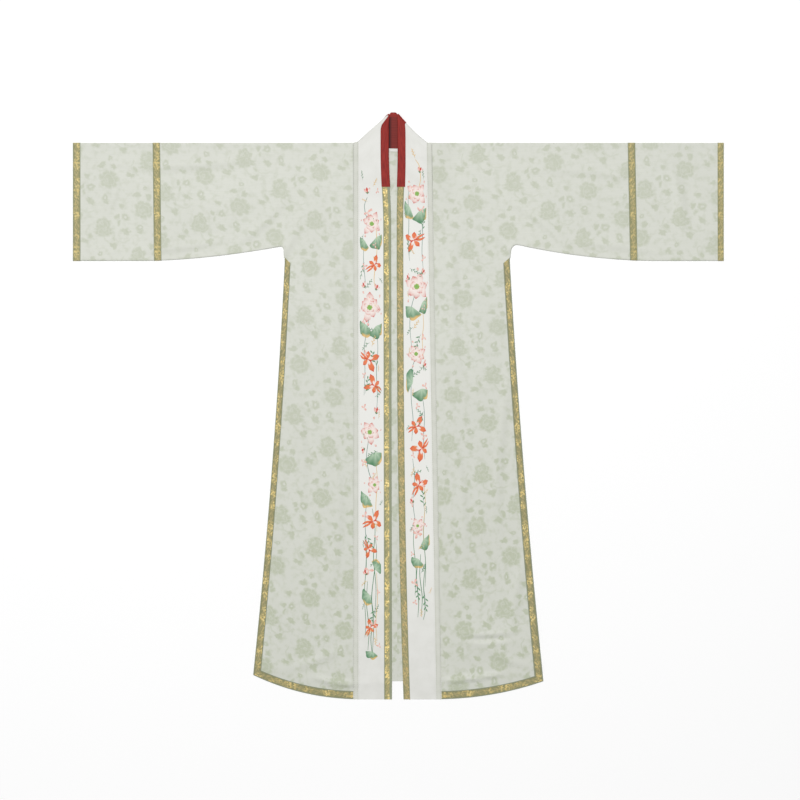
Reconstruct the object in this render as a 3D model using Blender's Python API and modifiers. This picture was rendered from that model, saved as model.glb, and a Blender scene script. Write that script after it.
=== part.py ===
"""Long open robe with a straight collar band, laid flat on its back.

The robe lies on the plane z = 0 with its front up and its neck towards +Y. Left and right are as
seen from above. Each half is one cloth: front, back and upper sleeve, folded over at the shoulder,
closed under the sleeve and open down the side. All lengths are in metres.
"""

import math
from collections import namedtuple

import bmesh
import bpy

# Driving sizes of the robe
SPAN = 1.431               # cuff to cuff
LENGTH = 1.224             # shoulder fold to the lowest point of the front hem
COLLAR_RISE = 0.067        # top of the neck band above the shoulder fold
CHEST_HALF = 0.2475        # half the width of the body under the arm
UNDERARM_DEPTH = 0.226     # shoulder fold to the underarm
SLEEVE_FLARE = 0.033       # extra depth of the sleeve towards the cuff
FLARE_RUN = 0.308          # distance from the underarm over which the sleeve deepens
FLARE_POWER = 1.7          # how fast it does so near the underarm
SLIT_DEPTH = 0.252         # shoulder fold to the head of the side slit
CHEST_DEPTH = 0.262        # shoulder fold to where the sides start to flare
BACK_SHORTER = 0.040       # the back hem lies this far above the front hem
NECK_DIP = 0.019           # the back neckline at its centre, below the shoulder fold
CENTRE_X = -0.0023         # centre back seam, beside the middle of the sleeves

# Walls and gaps
WALL = 0.0012              # body and sleeve cloth
BAND_WALL = 0.0016         # interfaced collar band
TRIM_WALL = 0.0010         # woven trims, edging and guard
GAP = 0.0003               # between pieces at a seam
LAYER_GAP = 0.0006         # between the front and the back that it lies on

# Strips sewn on
EDGING_WIDTH = 0.0110
FRONT_TRIM_WIDTH = 0.0145
JOIN_TRIM_WIDTH = 0.0165
HEM_TRIM_WIDTH = 0.0150
HEM_TRIM_HEIGHT = 0.0176
SLIT_TRIM_SLANT = 0.013    # how much lower the inner corner of the slit trim starts
GUARD_DEPTH = 0.097        # lower ends of the guard, below the shoulder fold
GUARD_FRACTION = 0.255     # share of the band that the guard covers outside
LINING_FRACTION = 0.92     # share of the band that the guard covers inside
SPREAD_DEPTH = 0.137       # from here up to the neck the free edges part, below the shoulder fold
SPREAD_RUN = 0.157
TOP_CLOSE = 0.45           # share of that which they lose again at the top
TOP_CLOSE_RUN = 0.030

# Levels
SHOULDER_Y = (LENGTH - COLLAR_RISE) / 2
HEM_Y = SHOULDER_Y - LENGTH
COLLAR_TOP_Y = SHOULDER_Y + COLLAR_RISE
BACK_LEVEL = WALL / 2
FRONT_LEVEL = WALL + LAYER_GAP + WALL / 2
NECK_LIFT = 0.0047         # the doubled collar raises the cloth beside the neck
NECK_LIFT_DEPTH = 0.200
NECK_LIFT_REACH = 0.070
FOLD_PUFF = 0.0014         # soft roll beside a fold
PUFF_REACH = 0.012
HEM_DROP_REACH = 0.036     # the front sinks to the floor past the back hem
SIDE_RUN = 0.909           # side edge from there to the hem
HEM_FLAT = 0.070           # the hem is level this far from the centre
HEM_POWER = 2.2            # how late it rises towards the side
SWEEP_POWER = 4            # how late a free edge swings away from the centre
SKEW_POWER = 1.4           # how late the rows of the collar turn to its fold
BACK_EDGE_POWER = 2        # how late the collar's edge behind the neck falls to the folds
GUARD_OFFSET = BAND_WALL / 2 + GAP + TRIM_WALL / 2
TRIM_OFFSET = WALL / 2 + GAP + TRIM_WALL / 2
EDGE_WRAP = GUARD_OFFSET + TRIM_WALL / 2
NECK_BACK_LEVEL = ((TRIM_WALL + GAP + (1 - GUARD_FRACTION) * BAND_WALL / 2)
                   / (1 - GUARD_FRACTION))
FOLD_DROP = 0.0046         # the free ends of the folds lie this far below the top of the collar

# Steps of the meshes
SLEEVE_FRACTIONS = (0.0, 0.08, 0.28, 0.50, 0.72, 0.92, 1.0)
FRONT_COLUMNS = 5
NECK_COLUMNS = 3
SLEEVE_COLUMNS = 7
END_COLUMNS = 5
LOWER_ROWS = 20
HEM_RISES = (BACK_SHORTER - 0.002, HEM_TRIM_HEIGHT, 0.0)   # last rows, above the hem
BAND_ROWS = 24
GUARD_ROWS = 5
ARC_STEPS = 4
DIAGONAL = math.sqrt(0.5)
TRIM_TURN = (-24.0, 68.0)  # degrees of a sleeve trim's turned down edge, from its end
BAND_FRACTIONS = (0.0, GUARD_FRACTION, LINING_FRACTION, 1.0)
UPPER_ROWS = len(SLEEVE_FRACTIONS) - 1
SLIT_ROW = UPPER_ROWS + 1
FRONT_ROWS = SLIT_ROW + LOWER_ROWS + len(HEM_RISES) - 1
BACK_ROWS = SLIT_ROW + LOWER_ROWS

Half = namedtuple("Half", "name sign free_x free_sweep spread sewn_x sewn_drift corner fold_bow "
                          "flare flare_bend hem_rise fillet join join_tilt cuff_trim")
HALVES = (
    Half(name="left", sign=-1, free_x=-0.0172, free_sweep=0.0, spread=0.0065, sewn_x=-0.0876,
         sewn_drift=0.0, corner=-0.0005, fold_bow=0.0, flare=0.0695, flare_bend=0.38,
         hem_rise=0.0535, fillet=0.009, join=0.532, join_tilt=-0.0031, cuff_trim=0.0165),
    Half(name="right", sign=1, free_x=-0.0040, free_sweep=0.0154, spread=0.0042, sewn_x=0.0623,
         sewn_drift=0.0212, corner=-0.0025, fold_bow=0.0040, flare=0.0726, flare_bend=0.30,
         hem_rise=0.0394, fillet=0.018, join=0.5126, join_tilt=0.0053, cuff_trim=0.0135),
)

# Soft swells of the front cloth: centre, half length, half width, turn from the X axis and height
Swell = namedtuple("Swell", "x y length width turn height")
SWELLS = (
    Swell(x=0.196, y=-0.512, length=0.090, width=0.045, turn=2, height=0.0022),
    Swell(x=0.150, y=-0.300, length=0.130, width=0.050, turn=74, height=0.0012),
    Swell(x=-0.180, y=-0.420, length=0.150, width=0.055, turn=98, height=0.0014),
    Swell(x=-0.150, y=0.020, length=0.140, width=0.050, turn=84, height=0.0011),
    Swell(x=0.170, y=0.060, length=0.150, width=0.055, turn=101, height=0.0012),
    Swell(x=-0.380, y=0.450, length=0.110, width=0.050, turn=12, height=0.0014),
    Swell(x=0.390, y=0.460, length=0.120, width=0.050, turn=-14, height=0.0013),
    Swell(x=-0.210, y=0.420, length=0.080, width=0.045, turn=52, height=0.0010),
    Swell(x=0.200, y=0.430, length=0.080, width=0.045, turn=-50, height=0.0011),
)

# Colours as seen, with roughness
Finish = namedtuple("Finish", "name red green blue roughness metallic")
SAGE_SILK = Finish("sage_silk", 214, 216, 205, 0.55, 0.0)
PLAIN_EDGING = Finish("plain_edging", 217, 218, 211, 0.60, 0.0)
WHITE_BAND = Finish("white_band", 226, 226, 220, 0.55, 0.0)
GOLD_TRIM = Finish("gold_brocade", 186, 177, 135, 0.45, 0.15)
RED_GUARD = Finish("red_guard", 147, 60, 53, 0.50, 0.0)


def smoothstep(value):
    """Ease from 0 to 1 as value goes from 0 to 1."""
    value = min(max(value, 0.0), 1.0)
    return value * value * (3.0 - 2.0 * value)


def blend(start, end, share):
    """Point or number part of the way from start to end."""
    if isinstance(start, tuple):
        return tuple(blend(first, last, share) for first, last in zip(start, end))
    return start + (end - start) * share


def linear(channel):
    """Linear value of a colour channel given from 0 to 255."""
    value = channel / 255
    return value / 12.92 if value <= 0.04045 else ((value + 0.055) / 1.055) ** 2.4


def make_material(finish):
    """Plain material with the finish's colour and roughness."""
    material = bpy.data.materials.new(finish.name)
    material.use_nodes = True
    shader = material.node_tree.nodes["Principled BSDF"]
    colour = (linear(finish.red), linear(finish.green), linear(finish.blue), 1.0)
    shader.inputs["Base Color"].default_value = colour
    shader.inputs["Roughness"].default_value = finish.roughness
    shader.inputs["Metallic"].default_value = finish.metallic
    material.diffuse_color = colour
    return material


# Plan of the robe

def side_edge_x(half, y):
    """Side edge of the body at height y."""
    share = max((SHOULDER_Y - CHEST_DEPTH - y) / SIDE_RUN, 0.0)
    flare = half.flare * blend(share, share * share, half.flare_bend)
    return CENTRE_X + half.sign * (CHEST_HALF + flare)


def hem_y(half, x):
    """Front hem, level near the centre and rising to the side."""
    reach = CHEST_HALF + half.flare - HEM_FLAT
    share = max((half.sign * (x - CENTRE_X) - HEM_FLAT) / reach, 0.0)
    return HEM_Y + half.hem_rise * share ** HEM_POWER


def sewn_edge_x(half, y):
    """Line where the collar band meets the edging."""
    return half.sewn_x + half.sewn_drift * (SHOULDER_Y - y) / LENGTH


def free_edge_x(half, y):
    """Free edge of the collar band."""
    depth = SHOULDER_Y - y
    sweep = half.free_sweep * min(max(depth / LENGTH, 0.0), 1.0) ** SWEEP_POWER
    close = TOP_CLOSE * smoothstep((y - COLLAR_TOP_Y + TOP_CLOSE_RUN) / TOP_CLOSE_RUN)
    spread = half.spread * smoothstep((SPREAD_DEPTH - depth) / SPREAD_RUN) * (1.0 - close)
    return half.free_x + sweep + half.sign * spread


def panel_edge_x(half, y):
    """Inner edge of the front, beside the edging."""
    return sewn_edge_x(half, y) + half.sign * (EDGING_WIDTH + GAP)


def sleeve_bottom_y(half, x):
    """Lower edge of the sleeve, rounded into the side at the underarm."""
    distance = max(half.sign * (x - CENTRE_X) - CHEST_HALF, 0.0)
    run = 1.0 - min(distance / FLARE_RUN, 1.0)
    y = SHOULDER_Y - UNDERARM_DEPTH - SLEEVE_FLARE * (1.0 - run ** FLARE_POWER)
    if distance < half.fillet:
        inset = half.fillet - distance
        y -= half.fillet - math.sqrt(half.fillet ** 2 - inset ** 2)
    return y


def neckline_y(x):
    """Back neckline between the two front bands."""
    half = HALVES[0] if x < CENTRE_X else HALVES[1]
    share = min(abs((x - CENTRE_X) / (half.sewn_x - CENTRE_X)), 1.0)
    return SHOULDER_Y + half.corner - (NECK_DIP + half.corner) * math.sqrt(1.0 - share * share)


# Heights of the front cloth

def neck_lift(half, x, y):
    """Share of the lift that the collar gives to the cloth at a place."""
    down = 1.0 - smoothstep((SHOULDER_Y - y - NECK_DIP) / NECK_LIFT_DEPTH)
    beside = half.sign * (x - sewn_edge_x(half, y))
    return down * (1.0 - smoothstep(beside / NECK_LIFT_REACH))


def fold_puff(half, x, y):
    """Share of the soft roll beside the shoulder fold and the underarm seam."""
    distance = SHOULDER_Y - y
    if half.sign * (x - CENTRE_X) > CHEST_HALF - WALL:
        distance = min(distance, abs(y - sleeve_bottom_y(half, x)))
    return math.exp(-max(distance, 0.0) / PUFF_REACH)


def swell_height(x, y):
    """Sum of the soft swells at a place."""
    total = 0.0
    for swell in SWELLS:
        turn = math.radians(swell.turn)
        along = (x - swell.x) * math.cos(turn) + (y - swell.y) * math.sin(turn)
        across = (y - swell.y) * math.cos(turn) - (x - swell.x) * math.sin(turn)
        total += swell.height * math.exp(-(along / swell.length) ** 2 - (across / swell.width) ** 2)
    return total


def front_level(half, x, y):
    """Middle height of the front cloth."""
    lift = neck_lift(half, x, y)
    past_back = hem_y(half, x) + HEM_RISES[0] - y
    drop = (FRONT_LEVEL - BACK_LEVEL) * smoothstep(past_back / HEM_DROP_REACH)
    return (FRONT_LEVEL - drop + NECK_LIFT * lift + swell_height(x, y) * (1.0 - lift)
            + FOLD_PUFF * fold_puff(half, x, y) * (1.0 - lift))


# Surfaces

class Cloth:
    """Open surface of four-sided faces that a Solidify modifier thickens about its middle."""

    def __init__(self):
        self.mesh = bmesh.new()
        self.points = {}

    def point(self, key, place):
        """Add the point named key."""
        self.points[key] = self.mesh.verts.new(place)

    def quad(self, *keys):
        """Add a face through four named points."""
        self.mesh.faces.new([self.points[key] for key in keys])

    def rows(self, name, rows):
        """Add a strip through rows of places."""
        for row, places in enumerate(rows):
            for column, place in enumerate(places):
                self.point((name, column, row), place)
                if row and column:
                    self.quad((name, column - 1, row - 1), (name, column, row - 1),
                              (name, column, row), (name, column - 1, row))

    def fold(self, name, pairs, outwards):
        """Join pairs of points, front and back, by a half round bulging outwards."""
        for index, ((front, back), outward) in enumerate(zip(pairs, outwards)):
            top = self.points[front].co
            bottom = self.points[back].co
            radius = (top.z - bottom.z) / 2
            for step in range(ARC_STEPS + 1):
                key = (name, step, index)
                if step in (0, ARC_STEPS):
                    self.points[key] = self.points[back if step else front]
                    continue
                angle = math.pi * step / ARC_STEPS
                reach = radius * math.sin(angle)
                level = (top.z + bottom.z) / 2 + radius * math.cos(angle)
                share = step / ARC_STEPS
                self.point(key, (blend(top.x, bottom.x, share) + outward[0] * reach,
                                 blend(top.y, bottom.y, share) + outward[1] * reach, level))
            if index:
                for step in range(ARC_STEPS):
                    self.quad((name, step, index - 1), (name, step, index),
                              (name, step + 1, index), (name, step + 1, index - 1))

    def finish(self, name, wall, material, collection):
        """Make the object, with its wall and smooth shading."""
        bmesh.ops.recalc_face_normals(self.mesh, faces=self.mesh.faces[:])
        mesh = bpy.data.meshes.new(name)
        self.mesh.to_mesh(mesh)
        self.mesh.free()
        mesh.shade_smooth()
        mesh.materials.append(material)
        body = bpy.data.objects.new(name, mesh)
        collection.objects.link(body)
        solidify = body.modifiers.new("wall", "SOLIDIFY")
        solidify.thickness = wall
        solidify.offset = 0.0
        solidify.use_even_offset = True
        return body


def fold_line_y(half, x):
    """Row of points at the shoulder, inset so that the fold's roll ends on the shoulder line."""
    level = front_level(half, x, SHOULDER_Y)
    return SHOULDER_Y - (level - BACK_LEVEL) / 2 - WALL / 2


def sleeve_row_y(half, x, fraction):
    """Height of a sleeve row, from the shoulder fold to the seam under the sleeve."""
    top = fold_line_y(half, x)
    bottom = sleeve_bottom_y(half, x)
    roll = (front_level(half, x, bottom) - BACK_LEVEL) / 2 + WALL / 2
    return blend(top, bottom + roll, fraction)


def panel_row_y(half, x, row):
    """Height of a front row: sleeve rows, the head of the slit, and rows down to the hem."""
    if row <= UPPER_ROWS:
        bottom = SHOULDER_Y - UNDERARM_DEPTH - half.fillet
        return blend(fold_line_y(half, x), bottom, SLEEVE_FRACTIONS[row])
    if row > SLIT_ROW + LOWER_ROWS:
        return hem_y(half, x) + HEM_RISES[row - SLIT_ROW - LOWER_ROWS]
    low = hem_y(half, x) + HEM_RISES[0]
    return blend(SHOULDER_Y - SLIT_DEPTH, low, (row - SLIT_ROW) / LOWER_ROWS)


def back_row_y(half, x, row):
    """Height of a back row below the head of the slit."""
    low = hem_y(half, x) + BACK_SHORTER
    return blend(SHOULDER_Y - SLIT_DEPTH, low, (row - SLIT_ROW) / LOWER_ROWS)


def panel_column_x(half, column, y):
    """Column of the front; the last two hold the slit trim."""
    outer = side_edge_x(half, y)
    if column > FRONT_COLUMNS:
        return outer
    trim_line = outer - half.sign * HEM_TRIM_WIDTH
    return blend(panel_edge_x(half, y), trim_line, column / FRONT_COLUMNS)


def front_point(half, column, row):
    """Middle of the front cloth at a grid place."""
    y = SHOULDER_Y
    for _ in range(3):
        x = panel_column_x(half, column, y)
        y = panel_row_y(half, x, row)
    return x, y, front_level(half, x, y)


def back_point(half, column, row):
    """Middle of the back cloth; columns below zero lie between the neck and the centre seam."""
    if column >= 0:
        x, y, _ = front_point(half, column, min(row, SLIT_ROW))
        for _ in range(3):
            if row > SLIT_ROW:
                y = back_row_y(half, x, row)
                x = panel_column_x(half, column, y)
        return x, y, BACK_LEVEL
    seam = CENTRE_X + half.sign * GAP / 2
    x = blend(half.sewn_x, seam, (-column - 1) / NECK_COLUMNS)
    if row > SLIT_ROW:
        return x, back_row_y(half, x, row), BACK_LEVEL
    top = neckline_y(x) - 2 * GAP
    beside = [front_point(half, 0, line)[1] for line in (0, row, SLIT_ROW)]
    share = (beside[0] - beside[1]) / (beside[0] - beside[2])
    return x, blend(top, SHOULDER_Y - SLIT_DEPTH, share), BACK_LEVEL


def sleeve_columns(half):
    """Columns of the upper sleeve, as distances from the centre, to the join."""
    start = CHEST_HALF + half.sign * CENTRE_X
    first = start + half.fillet
    last = half.join - JOIN_TRIM_WIDTH / 2
    columns = [start + (1.0 - DIAGONAL) * half.fillet, first]
    columns += [blend(first, last, step / SLEEVE_COLUMNS) for step in range(1, SLEEVE_COLUMNS + 1)]
    columns.append(half.join - GAP / 2)
    return columns


def end_columns(half):
    """Columns of the sleeve end, from the join to the cuff."""
    first = half.join + JOIN_TRIM_WIDTH / 2
    last = SPAN / 2 - half.cuff_trim
    columns = [half.join + GAP / 2, first]
    columns += [blend(first, last, step / END_COLUMNS) for step in range(1, END_COLUMNS + 1)]
    columns.append(SPAN / 2)
    return columns


def sleeve_point(half, distance, fraction, layer, offset=0.0):
    """Middle of the sleeve cloth at a distance from the centre and a share of the depth."""
    start = CHEST_HALF
    if distance <= half.join:
        slant = half.join_tilt * max(distance - start, 0.0) / (half.join - start)
    else:
        slant = half.join_tilt * (SPAN / 2 - distance) / (SPAN / 2 - half.join)
    x = half.sign * (distance + slant * fraction)
    y = sleeve_row_y(half, half.sign * distance, fraction)
    if layer == "back":
        return x, y, BACK_LEVEL
    return x, y, front_level(half, x, y) + offset


def make_body(half, material, collection):
    """One half of the robe: front, back and upper sleeve in one folded cloth."""
    cloth = Cloth()
    side = FRONT_COLUMNS + 1
    for row in range(FRONT_ROWS + 1):
        for column in range(side + 1):
            cloth.point(("front", column, row), front_point(half, column, row))
            if row and column:
                cloth.quad(("front", column - 1, row - 1), ("front", column, row - 1),
                           ("front", column, row), ("front", column - 1, row))
    for row in range(BACK_ROWS + 1):
        for column in range(-NECK_COLUMNS - 1, side + 1):
            cloth.point(("back", column, row), back_point(half, column, row))
            if row and column >= -NECK_COLUMNS:
                cloth.quad(("back", column - 1, row - 1), ("back", column, row - 1),
                           ("back", column, row), ("back", column - 1, row))
    distances = sleeve_columns(half)
    for layer in ("front", "back"):
        for step, distance in enumerate(distances, start=side + 1):
            for row, fraction in enumerate(SLEEVE_FRACTIONS):
                cloth.point((layer, step, row), sleeve_point(half, distance, fraction, layer))
                if row:
                    cloth.quad((layer, step - 1, row - 1), (layer, step, row - 1),
                               (layer, step, row), (layer, step - 1, row))
    last = side + len(distances)
    shoulder = [(("front", column, 0), ("back", column, 0)) for column in range(last + 1)]
    cloth.fold("shoulder", shoulder, [(0.0, 1.0)] * len(shoulder))
    keys = [(column, UPPER_ROWS) for column in range(last, side - 1, -1)] + [(side, SLIT_ROW)]
    under = [(("front", *key), ("back", *key)) for key in keys]
    outwards = [(0.0, -1.0)] * (len(distances) - 1)
    outwards += [(half.sign * DIAGONAL, -DIAGONAL)] + [(half.sign * 1.0, 0.0)] * 2
    cloth.fold("under", under, outwards)
    return cloth.finish("body_" + half.name, WALL, material, collection)


def make_sleeve_end(half, material, collection):
    """Flat tube from the sleeve join to the cuff."""
    cloth = Cloth()
    distances = end_columns(half)
    last = len(SLEEVE_FRACTIONS) - 1
    for layer in ("front", "back"):
        rows = [[sleeve_point(half, distance, fraction, layer) for distance in distances]
                for fraction in SLEEVE_FRACTIONS]
        cloth.rows(layer, rows)
    for row, outward in ((0, (0.0, 1.0)), (last, (0.0, -1.0))):
        pairs = [(("front", column, row), ("back", column, row)) for column in range(len(distances))]
        cloth.fold(("edge", row), pairs, [outward] * len(pairs))
    return cloth.finish("sleeve_end_" + half.name, WALL, material, collection)


def make_sleeve_trim(half, name, distances, material, collection):
    """Strip over the front of the sleeve, turned down round both of its long edges."""
    cloth = Cloth()
    rows = []
    for end, fraction in ((0, 0.0), (1, 1.0)):
        turn = []
        for step in range(ARC_STEPS):
            angle = math.radians(blend(*TRIM_TURN, step / (ARC_STEPS - 1)))
            places = []
            for distance in distances:
                x, y, level = sleeve_point(half, distance, fraction, "front")
                radius = (level - BACK_LEVEL) / 2
                middle = (level + BACK_LEVEL) / 2
                reach = (radius + TRIM_OFFSET) * math.cos(angle)
                outward = -1.0 if end else 1.0
                level = middle + (radius + TRIM_OFFSET) * math.sin(angle)
                places.append((x, y + outward * reach, level))
            turn.append(places)
        if end:
            turn.reverse()
            rows += [[sleeve_point(half, distance, share, "front", TRIM_OFFSET)
                      for distance in distances] for share in SLEEVE_FRACTIONS]
        rows += turn
    cloth.rows("strip", rows)
    return cloth.finish(name + "_" + half.name, TRIM_WALL, material, collection)


def make_edging(half, material, collection):
    """Narrow strip between the front and the collar band."""
    cloth = Cloth()
    rows = []
    for row in range(FRONT_ROWS + 1):
        _, y, _ = front_point(half, 0, row)
        inner = sewn_edge_x(half, y) + half.sign * GAP
        outer = inner + half.sign * (EDGING_WIDTH - GAP)
        level = front_level(half, panel_edge_x(half, y), y)
        rows.append([(inner, y, level), (outer, y, level)])
    cloth.rows("strip", rows)
    return cloth.finish("front_edging_" + half.name, TRIM_WALL, material, collection)


def make_hem_trim(half, material, collection):
    """Strip on the front down the side slit and along the hem, in one with its corner."""
    cloth = Cloth()
    side = FRONT_COLUMNS + 1
    first = SLIT_ROW
    last = FRONT_ROWS

    def place(column, row):
        x, y, level = front_point(half, column, row)
        return x, y, level + TRIM_OFFSET

    share = SLIT_TRIM_SLANT / (place(side, first)[1] - place(side, first + 1)[1])
    for row in range(first, last + 1):
        inner = place(side - 1, row)
        if row == first:
            inner = blend(inner, place(side - 1, row + 1), share)
        cloth.point((side - 1, row), inner)
        cloth.point((side, row), place(side, row))
        if row > first:
            cloth.quad((side - 1, row - 1), (side, row - 1), (side, row), (side - 1, row))
    for column in range(side - 2, -1, -1):
        for row in (last - 1, last):
            cloth.point((column, row), place(column, row))
        cloth.quad((column, last - 1), (column + 1, last - 1), (column + 1, last), (column, last))
    return cloth.finish("hem_trim_" + half.name, TRIM_WALL, material, collection)


# Collar band and what lies on it

Row = namedtuple("Row", "free sewn normal bow")


def band_level(half, x, y):
    """Middle height of the band, whose underside is level with that of the front."""
    return front_level(half, x, y) + (BAND_WALL - WALL) / 2


def front_band_row(half, depth, skew):
    """Row across the front band; skew from 0 to 1 turns it towards the fold at the neck."""
    y = SHOULDER_Y - depth
    free_y = y + skew * (COLLAR_TOP_Y - FOLD_DROP - SHOULDER_Y - half.corner)
    free_x = free_edge_x(half, free_y)
    sewn_x = sewn_edge_x(half, y)
    return Row(free=(free_x, free_y, band_level(half, sewn_x, y)),
               sewn=(sewn_x, y, band_level(half, sewn_x, y)), normal=(0.0, 0.0, 1.0),
               bow=half.fold_bow * skew)


def lower_band_rows(half):
    """Rows from the hem up to the end of the guard."""
    depths = [LENGTH - rise for rise in HEM_RISES[:0:-1]]
    depths += [blend(LENGTH - HEM_RISES[0], GUARD_DEPTH, step / BAND_ROWS)
               for step in range(BAND_ROWS + 1)]
    return [front_band_row(half, depth, 0.0) for depth in depths]


def upper_band_rows(half):
    """Rows from the end of the guard up to the fold at the neck."""
    rows = []
    for step in range(GUARD_ROWS + 1):
        share = step / GUARD_ROWS
        rows.append(front_band_row(half, blend(GUARD_DEPTH, -half.corner, share),
                                   share ** SKEW_POWER))
    return rows


def back_band_row(share):
    """Row across the band behind the neck; share from -1 at the left fold to 1 at the right."""
    half = HALVES[0] if share < 0 else HALVES[1]
    reach = abs(share)
    left, right = (front_band_row(side, -side.corner, 1.0) for side in HALVES)
    x = blend(CENTRE_X, half.sewn_x, reach)
    free = blend(left.free, right.free, (share + 1) / 2)
    free_y = blend(COLLAR_TOP_Y - EDGE_WRAP, free[1], reach ** BACK_EDGE_POWER)
    return Row(free=(free[0], free_y, NECK_BACK_LEVEL), sewn=(x, neckline_y(x), BAND_WALL / 2),
               normal=(0.0, 0.0, -1.0), bow=half.fold_bow * reach ** BACK_EDGE_POWER)


def fold_band_rows(half):
    """Rows round the fold between the front band and the band behind the neck."""
    top = front_band_row(half, -half.corner, 1.0)
    low = back_band_row(half.sign)
    rows = []
    for step in range(1, ARC_STEPS):
        angle = math.pi * step / ARC_STEPS
        outward = (half.sign * DIAGONAL * math.sin(angle), DIAGONAL * math.sin(angle))
        ends = []
        for first, second in ((top.free, low.free), (top.sewn, low.sewn)):
            radius = (first[2] - second[2]) / 2
            middle = (first[2] + second[2]) / 2
            ends.append((first[0] + outward[0] * radius, first[1] + outward[1] * radius,
                         middle + radius * math.cos(angle)))
        rows.append(Row(free=ends[0], sewn=ends[1], normal=(*outward, math.cos(angle)),
                        bow=half.fold_bow))
    return rows


def neck_rows():
    """Rows of the collar between the two ends of the guard, left to right."""
    left, right = HALVES
    rows = upper_band_rows(left) + fold_band_rows(left)
    rows += [back_band_row(step / NECK_COLUMNS) for step in range(-NECK_COLUMNS, NECK_COLUMNS + 1)]
    return rows + fold_band_rows(right)[::-1] + upper_band_rows(right)[::-1]


def row_place(row, fraction, offset):
    """Place on a row, at a share of its width from the free edge, moved out by offset."""
    x, y, z = blend(row.free, row.sewn, fraction)
    y -= row.bow * math.sin(math.pi * fraction)
    return tuple(value + part * offset for value, part in zip((x, y, z), row.normal))


def make_collar_band(material, collection):
    """Band from the left hem, round the neck, to the right hem."""
    left, right = HALVES
    rows = lower_band_rows(left)[:-1] + neck_rows() + lower_band_rows(right)[-2::-1]
    cloth = Cloth()
    cloth.rows("band", [[row_place(row, share, 0.0) for share in BAND_FRACTIONS] for row in rows])
    return cloth.finish("collar_band", BAND_WALL, material, collection)


def make_front_trim(half, material, collection):
    """Strip on the free edge of the front band, up to the guard."""
    rows = []
    for row in lower_band_rows(half):
        share = FRONT_TRIM_WIDTH / abs(row.sewn[0] - row.free[0])
        rows.append([row_place(row, 0.0, GUARD_OFFSET), row_place(row, share, GUARD_OFFSET)])
    rows[-1] = [(x, y - GAP, z) for x, y, z in rows[-1]]
    cloth = Cloth()
    cloth.rows("strip", rows)
    return cloth.finish("front_trim_" + half.name, TRIM_WALL, material, collection)


def make_collar_guard(material, collection):
    """Strip folded over the free edge of the collar, narrow outside and deep inside."""
    rows = []
    for row in neck_rows():
        edge = [(free - sewn) for free, sewn in zip(row.free, row.sewn)]
        width = max(abs(edge[0]), abs(edge[1]))
        places = [row_place(row, LINING_FRACTION, -GUARD_OFFSET),
                  row_place(row, GUARD_FRACTION, -GUARD_OFFSET)]
        for step in range(ARC_STEPS + 1):
            angle = math.pi * step / ARC_STEPS
            reach = GUARD_OFFSET * math.sin(angle) / width
            places.append(tuple(free + part * reach - normal * GUARD_OFFSET * math.cos(angle)
                                for free, part, normal in zip(row.free, edge, row.normal)))
        places.append(row_place(row, GUARD_FRACTION, GUARD_OFFSET))
        rows.append(places)
    cloth = Cloth()
    cloth.rows("guard", rows)
    return cloth.finish("collar_guard", TRIM_WALL, material, collection)


def make_robe():
    """Build every piece of the robe."""
    for stale in list(bpy.data.objects):
        bpy.data.objects.remove(stale, do_unlink=True)
    collection = bpy.data.collections.new("robe")
    bpy.context.scene.collection.children.link(collection)
    silk = make_material(SAGE_SILK)
    edging = make_material(PLAIN_EDGING)
    gold = make_material(GOLD_TRIM)
    for half in HALVES:
        make_body(half, silk, collection)
        make_sleeve_end(half, silk, collection)
        join = half.join
        join_places = (join - JOIN_TRIM_WIDTH / 2, join, join + JOIN_TRIM_WIDTH / 2)
        make_sleeve_trim(half, "sleeve_join_trim", join_places, gold, collection)
        cuff_places = (SPAN / 2 - half.cuff_trim, SPAN / 2)
        make_sleeve_trim(half, "cuff_trim", cuff_places, gold, collection)
        make_edging(half, edging, collection)
        make_hem_trim(half, gold, collection)
        make_front_trim(half, gold, collection)
    make_collar_band(make_material(WHITE_BAND), collection)
    make_collar_guard(make_material(RED_GUARD), collection)


make_robe()
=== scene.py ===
"""Dresses the laid robe: woven silk, collar band with embroidery, brocade trims and their stitches.

The robe lies on its back with its neck towards +Y. Left and right are as seen from above. All
lengths are in metres unless a name says otherwise.
"""

from __future__ import annotations

import logging
import math
from dataclasses import dataclass, field
from enum import Enum
from typing import Iterable, Sequence

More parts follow.
